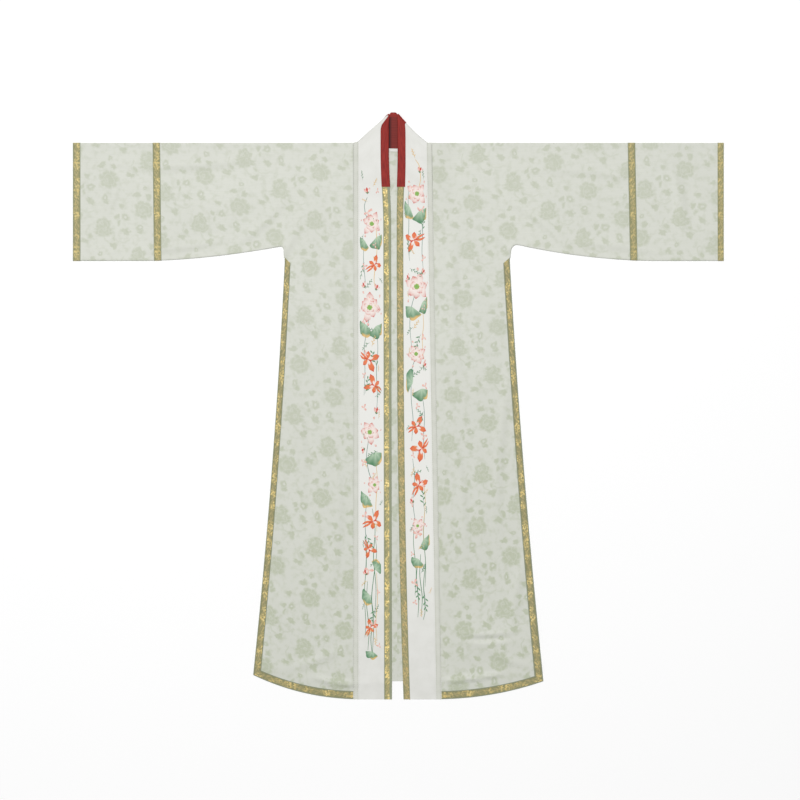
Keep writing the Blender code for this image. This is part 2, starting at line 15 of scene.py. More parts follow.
import bmesh
import bpy
import numpy as np
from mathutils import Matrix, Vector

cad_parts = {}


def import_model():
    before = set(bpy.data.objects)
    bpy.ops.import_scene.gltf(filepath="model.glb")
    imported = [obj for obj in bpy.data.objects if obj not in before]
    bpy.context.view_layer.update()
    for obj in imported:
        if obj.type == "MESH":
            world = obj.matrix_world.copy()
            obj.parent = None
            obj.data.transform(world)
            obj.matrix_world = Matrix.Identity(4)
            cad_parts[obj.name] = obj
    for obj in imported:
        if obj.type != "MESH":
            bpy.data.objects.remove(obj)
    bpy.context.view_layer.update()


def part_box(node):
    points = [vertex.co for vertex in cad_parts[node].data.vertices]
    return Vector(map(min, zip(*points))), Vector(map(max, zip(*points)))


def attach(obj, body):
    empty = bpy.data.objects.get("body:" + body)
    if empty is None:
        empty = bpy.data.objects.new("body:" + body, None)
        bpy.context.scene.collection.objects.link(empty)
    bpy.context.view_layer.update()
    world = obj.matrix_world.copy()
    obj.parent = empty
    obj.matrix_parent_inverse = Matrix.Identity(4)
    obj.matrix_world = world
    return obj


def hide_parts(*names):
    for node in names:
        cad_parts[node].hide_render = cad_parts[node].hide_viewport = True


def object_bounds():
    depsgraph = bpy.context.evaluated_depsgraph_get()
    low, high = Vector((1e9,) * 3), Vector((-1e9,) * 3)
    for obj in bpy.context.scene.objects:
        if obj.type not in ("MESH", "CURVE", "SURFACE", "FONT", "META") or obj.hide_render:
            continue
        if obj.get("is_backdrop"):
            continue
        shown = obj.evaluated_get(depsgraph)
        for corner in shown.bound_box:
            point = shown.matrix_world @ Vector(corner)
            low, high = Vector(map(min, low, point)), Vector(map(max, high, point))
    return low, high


LOG = logging.getLogger("robe")
Array = np.ndarray
Place = tuple[float, float, float]
Colour = tuple[float, float, float]
Spot = tuple[float, float]
Material = bpy.types.Material
Object = bpy.types.Object
Socket = bpy.types.NodeSocket
Value = Socket | float | tuple

PHOTO_WIDTH = 800
PIXEL = 0.0022
PHOTO_CENTRE = (398.3, 405.95)
MILLIMETRE = 0.001
HAIR = 0.0001
HALF_HAIR = 0.00005
SPECK = 0.00001
SHARP_BEND = 50
FOLD_STEPS = 8


def smoothstep(value: Array | float) -> Array | float:
    """Ease from 0 to 1 while value goes from 0 to 1."""
    value = np.clip(value, 0.0, 1.0)
    return value * value * (3.0 - 2.0 * value)


def mix(start: Array | float, end: Array | float, share: Array | float) -> Array | float:
    """Return what lies a share of the way from start to end."""
    return start + (end - start) * share


def even_shares(steps: int) -> Array:
    """Return even shares from 0 to 1, one more than there are steps."""
    return np.linspace(0.0, 1.0, steps + 1)


def linear_colour(red: float, green: float, blue: float) -> Colour:
    """Turn a colour as seen on screen, given from 0 to 255, into linear values."""
    scaled = [channel / 255 for channel in (red, green, blue)]
    return tuple(v / 12.92 if v <= 0.04045 else ((v + 0.055) / 1.055) ** 2.4 for v in scaled)


def toned(colour: Colour, factor: float) -> Colour:
    """Return the colour darker, or lighter where the factor is over 1."""
    return tuple(factor * part for part in colour)


# Plan and heights of the robe

@dataclass(frozen=True)
class Side:
    """What differs between the two halves of the robe, in metres."""

    name: str
    sign: int
    free_x: float
    free_sweep: float
    sweep_power: float
    spread: float
    front_trim: float
    sewn_x: float
    sewn_drift: float
    corner: float
    fold_bow: float
    flare: float
    flare_bend: float
    hem_rise: float
    fillet: float
    join: float
    join_tilt: float
    cuff_trim: float
    weave_start: Spot
    underarm_rise: float
    slit_trim: float
    end_weave_start: Spot
    weave_lean: float
    end_weave_lean: float
    slack_from: float
    slack: float


LEFT = Side("left", -1, free_x=-0.0166, free_sweep=0.0026, sweep_power=0.8, spread=0.0057,
            front_trim=0.0170, sewn_x=-0.0876, sewn_drift=0.0, corner=-0.0005, fold_bow=0.0,
            flare=0.0695, flare_bend=0.38, hem_rise=0.0535, fillet=0.009, join=0.532,
            join_tilt=-0.0031, cuff_trim=0.0165,
            underarm_rise=0.0, slit_trim=0.0165, weave_start=(-0.183, 0.409),
            end_weave_start=(-0.6475, 0.393), weave_lean=0.045, end_weave_lean=0.03,
            slack_from=0.134, slack=0.052)
RIGHT = Side("right", 1, free_x=-0.0037, free_sweep=0.0152, sweep_power=2.9, spread=0.0036,
             front_trim=0.0145, sewn_x=0.0623, sewn_drift=0.0212, corner=-0.0025, fold_bow=0.0040,
             flare=0.0726, flare_bend=0.30, hem_rise=0.0394, fillet=0.018, join=0.5126,
             join_tilt=0.0053, cuff_trim=0.0135,
             underarm_rise=0.0060, slit_trim=0.0185, weave_start=(0.330, 0.430),
             end_weave_start=(0.543, 0.476), weave_lean=-0.03, end_weave_lean=-0.03,
             slack_from=-0.080, slack=0.080)


@dataclass(frozen=True)
class Crease:
    """A soft ridge, or a trough where height is negative, in the laid cloth."""

    x: float
    y: float
    length: float
    width: float
    turn: float
    height: float
    bow: float = 0.0

    def lift(self, x: Array, y: Array) -> Array:
        """Return how much the crease raises the cloth at places in plan."""
        angle = math.radians(self.turn)
        along = (x - self.x) * math.cos(angle) + (y - self.y) * math.sin(angle)
        across = (y - self.y) * math.cos(angle) - (x - self.x) * math.sin(angle)
        across = across - self.bow * (along / self.length) ** 2
        fade = np.exp(-(along / self.length) ** 2)
        ridge = np.exp(-(across / self.width) ** 2)
        trough = np.exp(-((across + 1.6 * self.width) / (1.3 * self.width)) ** 2)
        return self.height * fade * (ridge - 0.45 * trough)


# x, y, length, width, turn in degrees, height and, where it bends, bow
SWELLS = tuple(Crease(*row) for row in (
    (0.196, -0.512, 0.090, 0.045, 2, 0.0022),
    (0.150, -0.300, 0.130, 0.050, 74, 0.0012),
    (-0.180, -0.420, 0.150, 0.055, 98, 0.0014),
    (-0.150, 0.020, 0.140, 0.050, 84, 0.0011),
    (0.170, 0.060, 0.150, 0.055, 101, 0.0012),
    (-0.380, 0.450, 0.110, 0.050, 12, 0.0014),
    (0.390, 0.460, 0.120, 0.050, -14, 0.0013),
    (-0.210, 0.420, 0.080, 0.045, 52, 0.0010),
    (0.200, 0.430, 0.080, 0.045, -50, 0.0011),
))

CREASES = tuple(Crease(*row) for row in (
    (0.197, -0.505, 0.045, 0.007, 3, 0.0022, 0.004),
    (0.165, -0.602, 0.050, 0.010, 12, 0.0021, -0.006),
    (-0.145, -0.612, 0.032, 0.009, -14, 0.0021, 0.005),
    (-0.262, 0.318, 0.070, 0.010, 58, 0.0021, 0.006),
    (0.266, 0.316, 0.075, 0.011, -56, 0.0021, -0.006),
    (-0.305, 0.395, 0.080, 0.012, 42, 0.0018, 0.008),
    (0.318, 0.402, 0.085, 0.012, -40, 0.0018, -0.008),
    (-0.440, 0.530, 0.120, 0.010, 4, 0.0016, 0.006),
    (0.430, 0.515, 0.110, 0.011, -6, 0.0016, -0.006),
    (-0.625, 0.470, 0.050, 0.012, 78, 0.0018, 0.006),
    (0.620, 0.455, 0.060, 0.012, 101, 0.0018, 0.006),
    (-0.470, 0.350, 0.090, 0.009, 8, 0.0016, 0.004),
    (0.480, 0.352, 0.090, 0.009, -7, 0.0016, -0.004),
    (-0.128, 0.240, 0.120, 0.010, 86, 0.0016, 0.008),
    (0.118, 0.200, 0.130, 0.011, 93, 0.0016, -0.008),
    (-0.214, -0.060, 0.150, 0.012, 94, 0.0018, 0.010),
    (0.222, -0.090, 0.160, 0.012, 85, 0.0018, -0.010),
    (-0.132, -0.250, 0.130, 0.011, 88, 0.0016, 0.008),
    (0.140, -0.200, 0.110, 0.010, 95, 0.0016, 0.006),
    (-0.250, -0.470, 0.080, 0.012, 102, 0.0018, 0.006),
    (0.262, -0.400, 0.090, 0.012, 78, 0.0018, -0.006),
    (-0.180, -0.560, 0.060, 0.010, 20, 0.0016, 0.005),
    (0.240, -0.560, 0.045, 0.009, -22, 0.0018, 0.005),
    (0.196, -0.512, 0.036, 0.0055, 2, -0.0034, 0.002),
    (0.128, -0.604, 0.022, 0.0055, 8, 0.0042, 0.003),
    (0.165, -0.600, 0.018, 0.0050, -4, 0.0040, -0.003),
    (0.205, -0.594, 0.022, 0.0055, 6, 0.0040, 0.002),
    (-0.118, -0.612, 0.020, 0.0060, -10, 0.0045, 0.003),
    (-0.160, -0.604, 0.018, 0.0050, -18, 0.0022, -0.002),
))


@dataclass(frozen=True)
class RobePlan:
    """Outline and heights of the robe as it lies, in metres."""

    shoulder_y: float
    hem_y: float
    half_span: float
    top_y: float
    centre_x: float = -0.0023
    chest_half: float = 0.2475
    chest_depth: float = 0.262
    side_run: float = 0.909
    underarm_depth: float = 0.226
    sleeve_flare: float = 0.033
    flare_run: float = 0.308
    flare_power: float = 1.7
    slit_depth: float = 0.252
    back_shorter: float = 0.040
    neck_dip: float = 0.019
    hem_flat: float = 0.070
    hem_power: float = 2.2
    spread_depth: float = 0.175
    spread_run: float = 0.150
    top_close: float = 0.45
    top_close_run: float = 0.030
    guard_depth: float = 0.097
    edging_width: float = 0.011
    join_trim: float = 0.0165
    seam: float = 0.0001
    seam_line: float = 0.0006
    cloth: float = 0.0009
    under_trim: float = 0.0003
    front_mid: float = 0.0024
    neck_lift: float = 0.0047
    neck_lift_depth: float = 0.200
    neck_lift_reach: float = 0.070
    fold_puff: float = 0.0012
    puff_reach: float = 0.012
    hem_drop_reach: float = 0.036
    hem_drop_start: float = 0.038

    @property
    def back_mid(self) -> float:
        """Middle height of the back cloth, just clear of the trims beneath it."""
        return self.under_trim + HAIR + self.cloth / 2

    @property
    def length(self) -> float:
        """Shoulder fold to the lowest point of the front hem."""
        return self.shoulder_y - self.hem_y

    def side_edge(self, side: Side, y: Array) -> Array:
        """Return the body's side edge at height y."""
        share = np.maximum((self.shoulder_y - self.chest_depth - y) / self.side_run, 0.0)
        flare = side.flare * mix(share, share * share, side.flare_bend)
        return self.centre_x + side.sign * (self.chest_half + flare)

    def front_hem(self, side: Side, x: Array) -> Array:
        """Return the front hem's height at x."""
        reach = self.chest_half + side.flare - self.hem_flat
        share = np.maximum((side.sign * (x - self.centre_x) - self.hem_flat) / reach, 0.0)
        return self.hem_y + side.hem_rise * share ** self.hem_power

    def sewn_edge(self, side: Side, y: Array) -> Array:
        """Return the line where the band meets the edging."""
        return side.sewn_x + side.sewn_drift * (self.shoulder_y - y) / self.length

    def free_edge(self, side: Side, y: Array) -> Array:
        """Return the free edge of the band."""
        depth = self.shoulder_y - y
        sweep = side.free_sweep * np.clip(depth / self.length, 0.0, 1.0) ** side.sweep_power
        close = self.top_close * smoothstep((y - self.top_y + self.top_close_run) / self.top_close_run)
        spread = side.spread * smoothstep((self.spread_depth - depth) / self.spread_run)
        return side.free_x + sweep + side.sign * spread * (1.0 - close)

    def panel_edge(self, side: Side, y: Array) -> Array:
        """Return the inner edge of the front, beside the edging."""
        return self.sewn_edge(side, y) + side.sign * (self.edging_width + self.seam_line)

    def sleeve_bottom(self, side: Side, x: Array) -> Array:
        """Return the lower edge of the sleeve, rounded into the side."""
        distance = np.maximum(side.sign * (x - self.centre_x) - self.chest_half, 0.0)
        run = 1.0 - np.minimum(distance / self.flare_run, 1.0)
        y = self.shoulder_y - self.underarm_depth - self.sleeve_flare * (1.0 - run ** self.flare_power)
        y = y + side.underarm_rise * run ** 3
        inset = np.maximum(side.fillet - distance, 0.0)
        return y - (side.fillet - np.sqrt(side.fillet ** 2 - inset ** 2)) * (inset > 0.0)

    def neckline(self, x: Array) -> Array:
        """Return the back neckline between the two front bands."""
        x = np.asarray(x, dtype=float)
        edge = np.where(x < self.centre_x, LEFT.sewn_x, RIGHT.sewn_x)
        corner = np.where(x < self.centre_x, LEFT.corner, RIGHT.corner)
        share = np.minimum(np.abs((x - self.centre_x) / (edge - self.centre_x)), 1.0)
        return self.shoulder_y + corner - (self.neck_dip + corner) * np.sqrt(1.0 - share * share)

    def front_level(self, side: Side, x: Array, y: Array) -> Array:
        """Return the middle height of the front cloth, with swells, creases and a slight ripple."""
        x, y = np.broadcast_arrays(np.asarray(x, float), np.asarray(y, float))
        down = 1.0 - smoothstep((self.shoulder_y - y - self.neck_dip) / self.neck_lift_depth)
        beside = side.sign * (x - self.sewn_edge(side, y))
        lift = down * (1.0 - smoothstep(beside / self.neck_lift_reach))
        distance = self.shoulder_y - y
        on_sleeve = side.sign * (x - self.centre_x) > self.chest_half - 0.001
        under = np.abs(y - self.sleeve_bottom(side, x))
        distance = np.where(on_sleeve, np.minimum(distance, under), distance)
        puff = self.fold_puff * np.exp(-np.maximum(distance, 0.0) / self.puff_reach)
        relief = sum(crease.lift(x, y) for crease in SWELLS + CREASES)
        relief = relief + 0.00010 * np.sin(61 * x + 17 * y) * np.sin(23 * y - 9 * x + 1.3)
        relief = relief + 0.00005 * np.sin(140 * x - 60 * y + 0.7) * np.sin(95 * y + 40 * x)
        past = (self.front_hem(side, x) + self.hem_drop_start - y) / self.hem_drop_reach
        fall = smoothstep(past)
        drop = (self.front_mid - self.cloth / 2 - HALF_HAIR) * fall
        relief = relief * (1.0 - 0.5 * fall)
        level = self.front_mid - drop + self.neck_lift * lift + (relief + puff) * (1.0 - lift)
        lowest = mix(self.back_mid + self.cloth + 2 * HAIR, self.cloth / 2 + HALF_HAIR, fall)
        return np.maximum(level, lowest)


# Meshes

class ClothMesh:
    """Gathers grids of places into one open surface, welds them and gives the wall its thickness."""

    def __init__(self, name: str) -> None:
        """Start an empty surface."""
        self.name = name
        self.places: list[Place] = []
        self.uvs: list[Spot] = []
        self.colours: list[Colour] = []
        self.faces: list[tuple[int, int, int, int]] = []

    def grid(self, places: Array, uvs: Array, colours: Array | None = None) -> None:
        """Add a grid of places.

        Args:
            places: Array of rows by columns by 3.
            uvs: Array of rows by columns by 2, in metres on the cloth.
            colours: Linear colours of the thread, rows by columns by 3, where it has its own.
        """
        if colours is not None:
            self.colours.extend(map(tuple, colours.reshape(-1, 3).tolist()))
        rows, columns = places.shape[:2]
        start = len(self.places)
        self.places.extend(map(tuple, places.reshape(-1, 3).tolist()))
        self.uvs.extend(map(tuple, uvs.reshape(-1, 2).tolist()))
        index = start + np.arange(rows * columns).reshape(rows, columns)
        corners = (index[:-1, :-1], index[:-1, 1:], index[1:, 1:], index[1:, :-1])
        self.faces.extend(map(tuple, np.stack(corners, -1).reshape(-1, 4).tolist()))

    def finish(self, wall: float, material: Material, even: bool = True) -> Object:
        """Make the object.

        Args:
            wall: Thickness of the cloth, spread evenly about the surface, or 0 for loose patches
                that face up.
            material: What it is made of.
            even: Whether sharp bends keep the full thickness.

        Returns:
            The finished object, a plain mesh at the origin.
        """
        mesh = bpy.data.meshes.new(self.name)
        mesh.from_pydata(self.places, [], self.faces)
        layer = mesh.uv_layers.new(name="cloth")
        corners = np.empty(len(mesh.loops), dtype=np.int32)
        mesh.loops.foreach_get("vertex_index", corners)
        layer.data.foreach_set("uv", np.asarray(self.uvs, np.float32)[corners].ravel())
        if self.colours:
            paint = mesh.color_attributes.new("thread", "FLOAT_COLOR", "POINT")
            opaque = np.column_stack([self.colours, np.ones(len(self.colours))])
            paint.data.foreach_set("color", opaque.astype(np.float32).ravel())
        work = bmesh.new()
        work.from_mesh(mesh)
        if wall > 0.0:
            bmesh.ops.remove_doubles(work, verts=work.verts[:], dist=0.00002)
            bmesh.ops.recalc_face_normals(work, faces=work.faces[:])
        else:
            down = [face for face in work.faces if face.normal.z < 0.0]
            bmesh.ops.reverse_faces(work, faces=down)
        work.to_mesh(mesh)
        work.free()
        mesh.materials.append(material)
        piece = put_in_scene(self.name, mesh)
        if wall > 0.0:
            solidify = piece.modifiers.new("wall", "SOLIDIFY")
            solidify.thickness = wall
            solidify.offset = 0.0
            solidify.use_even_offset = even
            bake_modifiers(piece)
        piece.data.shade_smooth()
        piece.data.set_sharp_from_angle(angle=math.radians(SHARP_BEND))
        return piece


def put_in_scene(name: str, data: bpy.types.ID) -> Object:
    """Make an object and link it to the scene."""
    item = bpy.data.objects.new(name, data)
    bpy.context.scene.collection.objects.link(item)
    return item


def bake_modifiers(piece: Object) -> None:
    """Replace the piece's mesh by its evaluated one and drop its modifiers."""
    graph = bpy.context.evaluated_depsgraph_get()
    evaluated = piece.evaluated_get(graph)
    mesh = bpy.data.meshes.new_from_object(evaluated, preserve_all_data_layers=True, depsgraph=graph)
    mesh.name = piece.name
    piece.modifiers.clear()
    piece.data = mesh


def round_fold(top: Array, bottom: Array, outward: Array) -> Array:
    """Half round between two rows of places.

    Args:
        top: Upper row, count by 3.
        bottom: Lower row, count by 3.
        outward: Directions in plan, count by 2.

    Returns:
        Grid of FOLD_STEPS + 1 by count by 3.
    """
    radius = (top[:, 2] - bottom[:, 2]) / 2
    middle = (top[:, 2] + bottom[:, 2]) / 2
    rows = []
    for angle in math.pi * even_shares(FOLD_STEPS):
        share = angle / math.pi
        plan = mix(top[:, :2], bottom[:, :2], share) + outward * (radius * math.sin(angle))[:, None]
        rows.append(np.column_stack([plan, middle + radius * math.cos(angle)]))
    rows[0] = top
    rows[-1] = bottom
    return np.stack(rows)


def ribbon_uvs(places: Array, start: float = 0.0) -> Array:
    """Lengths along and across a ribbon.

    Args:
        places: Rows along the ribbon by columns across it by 3.
        start: Length at which the ribbon begins.

    Returns:
        Rows by columns by 2, with the length along first and the width, centred, second.
    """
    middle = places[:, places.shape[1] // 2]
    along = start + np.concatenate([[0.0], np.cumsum(np.linalg.norm(np.diff(middle, axis=0), axis=1))])
    steps = np.linalg.norm(np.diff(places, axis=1), axis=2)
    across = np.concatenate([np.zeros((len(places), 1)), np.cumsum(steps, axis=1)], axis=1)
    across = across - across[:, -1:] / 2
    return np.stack([np.broadcast_to(along[:, None], across.shape), across], axis=-1)


# Finishes

class Wiring:
    """Adds shader nodes to one material and joins them."""

    def __init__(self, name: str) -> None:
        """Start a material that holds only a Principled shader."""
        self.material = bpy.data.materials.new(name)
        self.material.use_nodes = True
        self.tree = self.material.node_tree
        self.tree.nodes.clear()
        output = self.tree.nodes.new("ShaderNodeOutputMaterial")
        self.shader = self.tree.nodes.new("ShaderNodeBsdfPrincipled")
        self.tree.links.new(self.shader.outputs[0], output.inputs["Surface"])

    def feed(self, socket: Socket, value: Value) -> None:
        """Link another node's output to an input, or set its number, colour or vector."""
        if isinstance(value, Socket):
            self.tree.links.new(value, socket)
        elif socket.type == "RGBA" and len(value) == 3:
            socket.default_value = (*value, 1.0)
        else:
            socket.default_value = value

    def node(self, kind: str, *values: Value, **settings: str) -> bpy.types.Node:
        """Add a node with its settings, and feed its first inputs."""
        node = self.tree.nodes.new(kind)
        for name, setting in settings.items():
            setattr(node, name, setting)
        for socket, value in zip(node.inputs, values):
            self.feed(socket, value)
        return node

    def dress(self, **inputs: Value) -> Material:
        """Set inputs of the shader, named with underscores for spaces, and return the material."""
        for name, value in inputs.items():
            self.feed(self.shader.inputs[name.replace("_", " ")], value)
        return self.material

    def math(self, operation: str, *values: Value) -> Socket:
        """Return the result of a Math node."""
        return self.node("ShaderNodeMath", *values, operation=operation).outputs[0]

    def vector(self, operation: str, *values: Value) -> Socket:
        """Return the result of a Vector Math node, a number for a dot product or a length."""
        node = self.node("ShaderNodeVectorMath", *values, operation=operation)
        return node.outputs["Value" if operation in ("DOT_PRODUCT", "LENGTH") else "Vector"]

    def times(self, first: Value, second: Value) -> Socket:
        """Return a product."""
        return self.math("MULTIPLY", first, second)

    def scaled(self, value: Value, factor: Value, more: Value) -> Socket:
        """Return the value times a factor, and more."""
        return self.math("MULTIPLY_ADD", value, factor, more)

    def largest(self, values: Sequence[Socket]) -> Socket:
        """Return the largest of several values."""
        result = values[0]
        for value in values[1:]:
            result = self.math("MAXIMUM", result, value)
        return result

    def ease(self, value: Value, low: float, high: float) -> Socket:
        """Return 0 below low, 1 above high and a smooth step between them, also where low > high."""
        node = self.node("ShaderNodeMapRange", value, low, high, interpolation_type="SMOOTHSTEP")
        return node.outputs["Result"]

    def blend(self, share: Value, start: Value, end: Value) -> Socket:
        """Return a mix of two colours."""
        node = self.tree.nodes.new("ShaderNodeMix")
        node.data_type = "RGBA"
        self.feed(node.inputs[0], share)
        self.feed(node.inputs[6], start)
        self.feed(node.inputs[7], end)
        return node.outputs[2]

    def noise(self, place: Value, scale: float, detail: float = 2.0, output: str | int = 0) -> Socket:
        """Return noise from 0 to 1, or as a vector where the output is its colour."""
        node = self.tree.nodes.new("ShaderNodeTexNoise")
        self.feed(node.inputs["Vector"], place)
        node.inputs["Scale"].default_value = scale
        node.inputs["Detail"].default_value = detail
        return node.outputs[output]

    def cloth_place(self) -> Socket:
        """Return the place on the cloth, in metres, that the mesh carries."""
        return self.node("ShaderNodeUVMap", uv_map="cloth").outputs["UV"]

    def object_place(self) -> Socket:
        """Return the place in the object's own axes."""
        return self.node("ShaderNodeTexCoord").outputs["Object"]

    def split(self, place: Value, parts: int = 2) -> tuple[Socket, ...]:
        """Return the first parts of a vector."""
        return tuple(self.node("ShaderNodeSeparateXYZ", place).outputs[:parts])

    def join(self, first: Value, second: Value) -> Socket:
        """Return a vector of two parts."""
        return self.node("ShaderNodeCombineXYZ", first, second).outputs[0]

    def bump(self, height: Value, depth: float, strength: float = 1.0) -> Socket:
        """Return a normal for small relief of the given depth in metres."""
        node = self.tree.nodes.new("ShaderNodeBump")
        node.inputs["Strength"].default_value = strength
        node.inputs["Distance"].default_value = depth
        self.feed(node.inputs["Height"], height)
        return node.outputs["Normal"]

    def threads(self, place: Value, pitch: float) -> Socket:
        """Return the height of a plain weave, from 0 to 1, with its threads a pitch apart."""
        x, y = self.split(place)
        turn = math.tau / pitch
        warp = self.math("SINE", self.times(x, turn))
        weft = self.math("SINE", self.times(y, turn))
        return self.scaled(self.times(warp, weft), 0.5, 0.5)


@dataclass(frozen=True)
class Motif:
    """One woven figure of the repeat, with lengths in millimetres, x to the right and y down."""

    x: float
    y: float
    half_x: float
    half_y: float
    turn: float = 0.0
    lobes: int = 0
    depth: float = 0.0
    hole: float = 0.0
    keep: float = 2.0
    veins: bool = False


REPEAT = ((77.0, 64.0), (-22.0, 211.0))
FIGURES = (
    Motif(0, 8, 23, 12.5, 0, 8, 0.20, veins=True),
    Motif(-1, -6, 17, 16, 10, 6, 0.17, veins=True),
    Motif(88, -41, 22.5, 20, 20, 7, 0.15, veins=True),
    Motif(29, -24, 6.2, 6.2, 20, 3, 0.30),
    Motif(48, -23, 8.8, 8.4, 10, 6, 0.14, 0.30),
    Motif(33, -11, 3.2, 5.4, 20),
    Motif(48, 7.5, 11, 7.2, 35, 6, 0.28),
    Motif(22, 24, 2.8, 5.0, -30),
    Motif(22, 40, 9.4, 9.0, 15, 3, 0.42),
    Motif(-40, 31, 11.5, 6.6, 20, 4, 0.38),
    Motif(-30, 19, 5.6, 7.8, -30, 2, 0.24),
    Motif(73, -74, 10, 6.8, -15, 3, 0.40),
    Motif(91, -89, 5.6, 5.6, 0, 5, 0.16, 0.25),
    Motif(98, -69, 7.0, 6.6, 40, 5, 0.22),
    Motif(40, -48, 9.0, 6.2, 25, 3, 0.36),
    Motif(79, -1, 7.0, 8.0, 10, 0, 0.0, 0.34),
    Motif(82.5, 9, 7.6, 5.4, -10, 3, 0.34),
    Motif(20, 17, 20, 19, 0, 0, 0.0, 0.91, keep=-0.15),
    Motif(42, 14, 20, 17, -15, 0, 0.0, 0.91, keep=-0.35),
    Motif(-22, 12, 17, 17, 25, 0, 0.0, 0.90, keep=-0.35),
)
CLEAR = (
    Motif(-5, -9, 3.6, 3.6, 0, 0, 0.0, 0.45),
    Motif(84, -39, 3.8, 3.4, 0, 0, 0.0, 0.45),
    Motif(3, 4, 4.2, 3.4, 20, 0, 0.0, 0.5),
)


@dataclass(frozen=True)
class JacquardSilk:
    """Thin silk with peonies, buds and leaves woven in a slightly darker and duller tone, with painted
    shade towards the hem and the right.
    """

    name: str
    ground: Colour
    figure: Colour
    contrast: float = 0.66
    edge: float = 0.10
    blur: float = 2.3
    weave: float = 0.00075
    wander: float = 0.014
    waver: float = 170.0
    bends: float = 80.0
    mottles: float = 75.0
    clouds: float = 9.0
    slubs: float = 330.0
    fibres: float = 900.0
    relief: float = 0.00012
    vein_ring: float = 0.56

    def figure_share(self, net: Wiring, lattice: Socket, motif: Motif) -> Socket:
        """Return 1 inside one motif and 0 outside it, at a place counted in repeats."""
        across, down = REPEAT
        size = across[0] * down[1] - across[1] * down[0]
        centre = ((motif.x * down[1] - motif.y * down[0]) / size,
                  (motif.y * across[0] - motif.x * across[1]) / size, 0.0)
        near = net.vector("WRAP", net.vector("SUBTRACT", lattice, centre),
                          (0.5, 0.5, 1.0), (-0.5, -0.5, -1.0))
        angle = math.radians(motif.turn)
        unit_x = (math.cos(angle) / motif.half_x, math.sin(angle) / motif.half_x)
        unit_y = (-math.sin(angle) / motif.half_y, math.cos(angle) / motif.half_y)
        parts = []
        for unit in (unit_x, unit_y):
            weights = tuple(step[0] * unit[0] + step[1] * unit[1] for step in REPEAT)
            parts.append(net.vector("DOT_PRODUCT", near, (*weights, 0.0)))
        square = net.times(parts[0], parts[0])
        radius = net.math("SQRT", net.scaled(parts[1], parts[1], square))
        if motif.lobes:
            bearing = net.math("ARCTAN2", parts[1], parts[0])
            wave = net.math("SINE", net.times(bearing, motif.lobes / 2))
            lobe = net.math("ABSOLUTE", wave)
            reach = net.scaled(lobe, motif.depth, 1.0 - motif.depth)
            outline = net.math("DIVIDE", radius, reach)
        else:
            outline = radius
        edge = self.edge + self.blur / min(motif.half_x, motif.half_y)
        share = net.ease(outline, 1.0 + edge, max(1.0 - edge, 0.0))
        if motif.veins:
            ring = net.math("ABSOLUTE", net.math("SUBTRACT", outline, self.vein_ring))
            gap = net.ease(ring, 0.0, 0.11)
            rays = net.math("MAXIMUM", net.ease(lobe, 0.04, 0.26), net.ease(outline, 0.62, 0.52))
            gap = net.times(gap, rays)
            share = net.times(share, net.scaled(gap, 0.42, 0.58))
        if motif.hole:
            share = net.times(share, net.ease(radius, motif.hole - edge / 2, motif.hole + edge / 2))
        if motif.keep < 1.0:
            side = net.math("ADD", parts[0], net.times(parts[1], -1.0))
            share = net.times(share, net.ease(side, motif.keep, motif.keep - 0.1))
        return share

    def make(self) -> Material:
        """Build the material."""
        net = Wiring(self.name)
        place = net.cloth_place()
        waver = net.noise(place, self.waver, 4.0)
        uneven = net.vector("SUBTRACT", net.noise(place, self.bends, 3.0, "Color"), (0.5, 0.5, 0.0))
        uneven = net.vector("MULTIPLY", uneven, (self.wander, self.wander, 0.0))
        shifted = net.vector("ADD", place, uneven)
        across, down = ((MILLIMETRE * x, -MILLIMETRE * y) for x, y in REPEAT)
        size = across[0] * down[1] - across[1] * down[0]
        first = net.vector("DOT_PRODUCT", shifted, (down[1] / size, -down[0] / size, 0.0))
        second = net.vector("DOT_PRODUCT", shifted, (-across[1] / size, across[0] / size, 0.0))
        lattice = net.join(first, second)
        shown = net.largest([self.figure_share(net, lattice, motif) for motif in FIGURES])
        clear = net.largest([self.figure_share(net, lattice, motif) for motif in CLEAR])
        shown = net.times(shown, net.scaled(clear, -0.6, 1.0))
        mottle = net.ease(net.noise(place, self.mottles, 4.0), 0.44, 0.74)
        shown = net.math("MAXIMUM", shown, net.times(mottle, 0.55))
        # Painted shade: towards the hem and the right the ground darkens and the figures show more
        # strongly, standing in for the fall-off of the light.
        x, y = net.split(net.object_place())
        fall = net.scaled(x, 0.35, net.times(y, -1.0))
        low = net.ease(fall, -0.40, 0.55)
        tone = net.times(net.scaled(waver, 0.9, 0.5), net.scaled(low, 0.34, self.contrast))
        shown = net.times(shown, tone)
        cloudy = net.noise(net.object_place(), self.clouds)
        ground = net.blend(net.ease(cloudy, 0.25, 0.8), self.ground, toned(self.ground, 0.97))
        # Painted shade of the ground towards the hem and the right.
        ground = net.blend(net.times(low, 0.3), ground, toned(self.ground, 0.90))
        drawn = net.vector("MULTIPLY", place, (0.06, 1.0, 1.0))
        ground = net.blend(net.ease(net.noise(drawn, self.slubs), 0.40, 0.80), ground,
                           toned(self.ground, 0.955))
        threads = net.threads(place, self.weave)
        fibre = net.noise(place, self.fibres, 1.0)
        ground = net.blend(net.times(net.times(threads, fibre), 0.10), ground, toned(self.ground, 0.80))
        colour = net.blend(shown, ground, self.figure)
        height = net.scaled(threads, 0.35, net.times(shown, 0.65))
        return net.dress(Base_Color=colour,
                         Roughness=net.scaled(shown, 0.10, 0.50),
                         Normal=net.bump(height, self.relief, 0.5), Sheen_Weight=0.12,
                         Sheen_Roughness=0.45, Specular_IOR_Level=0.35)


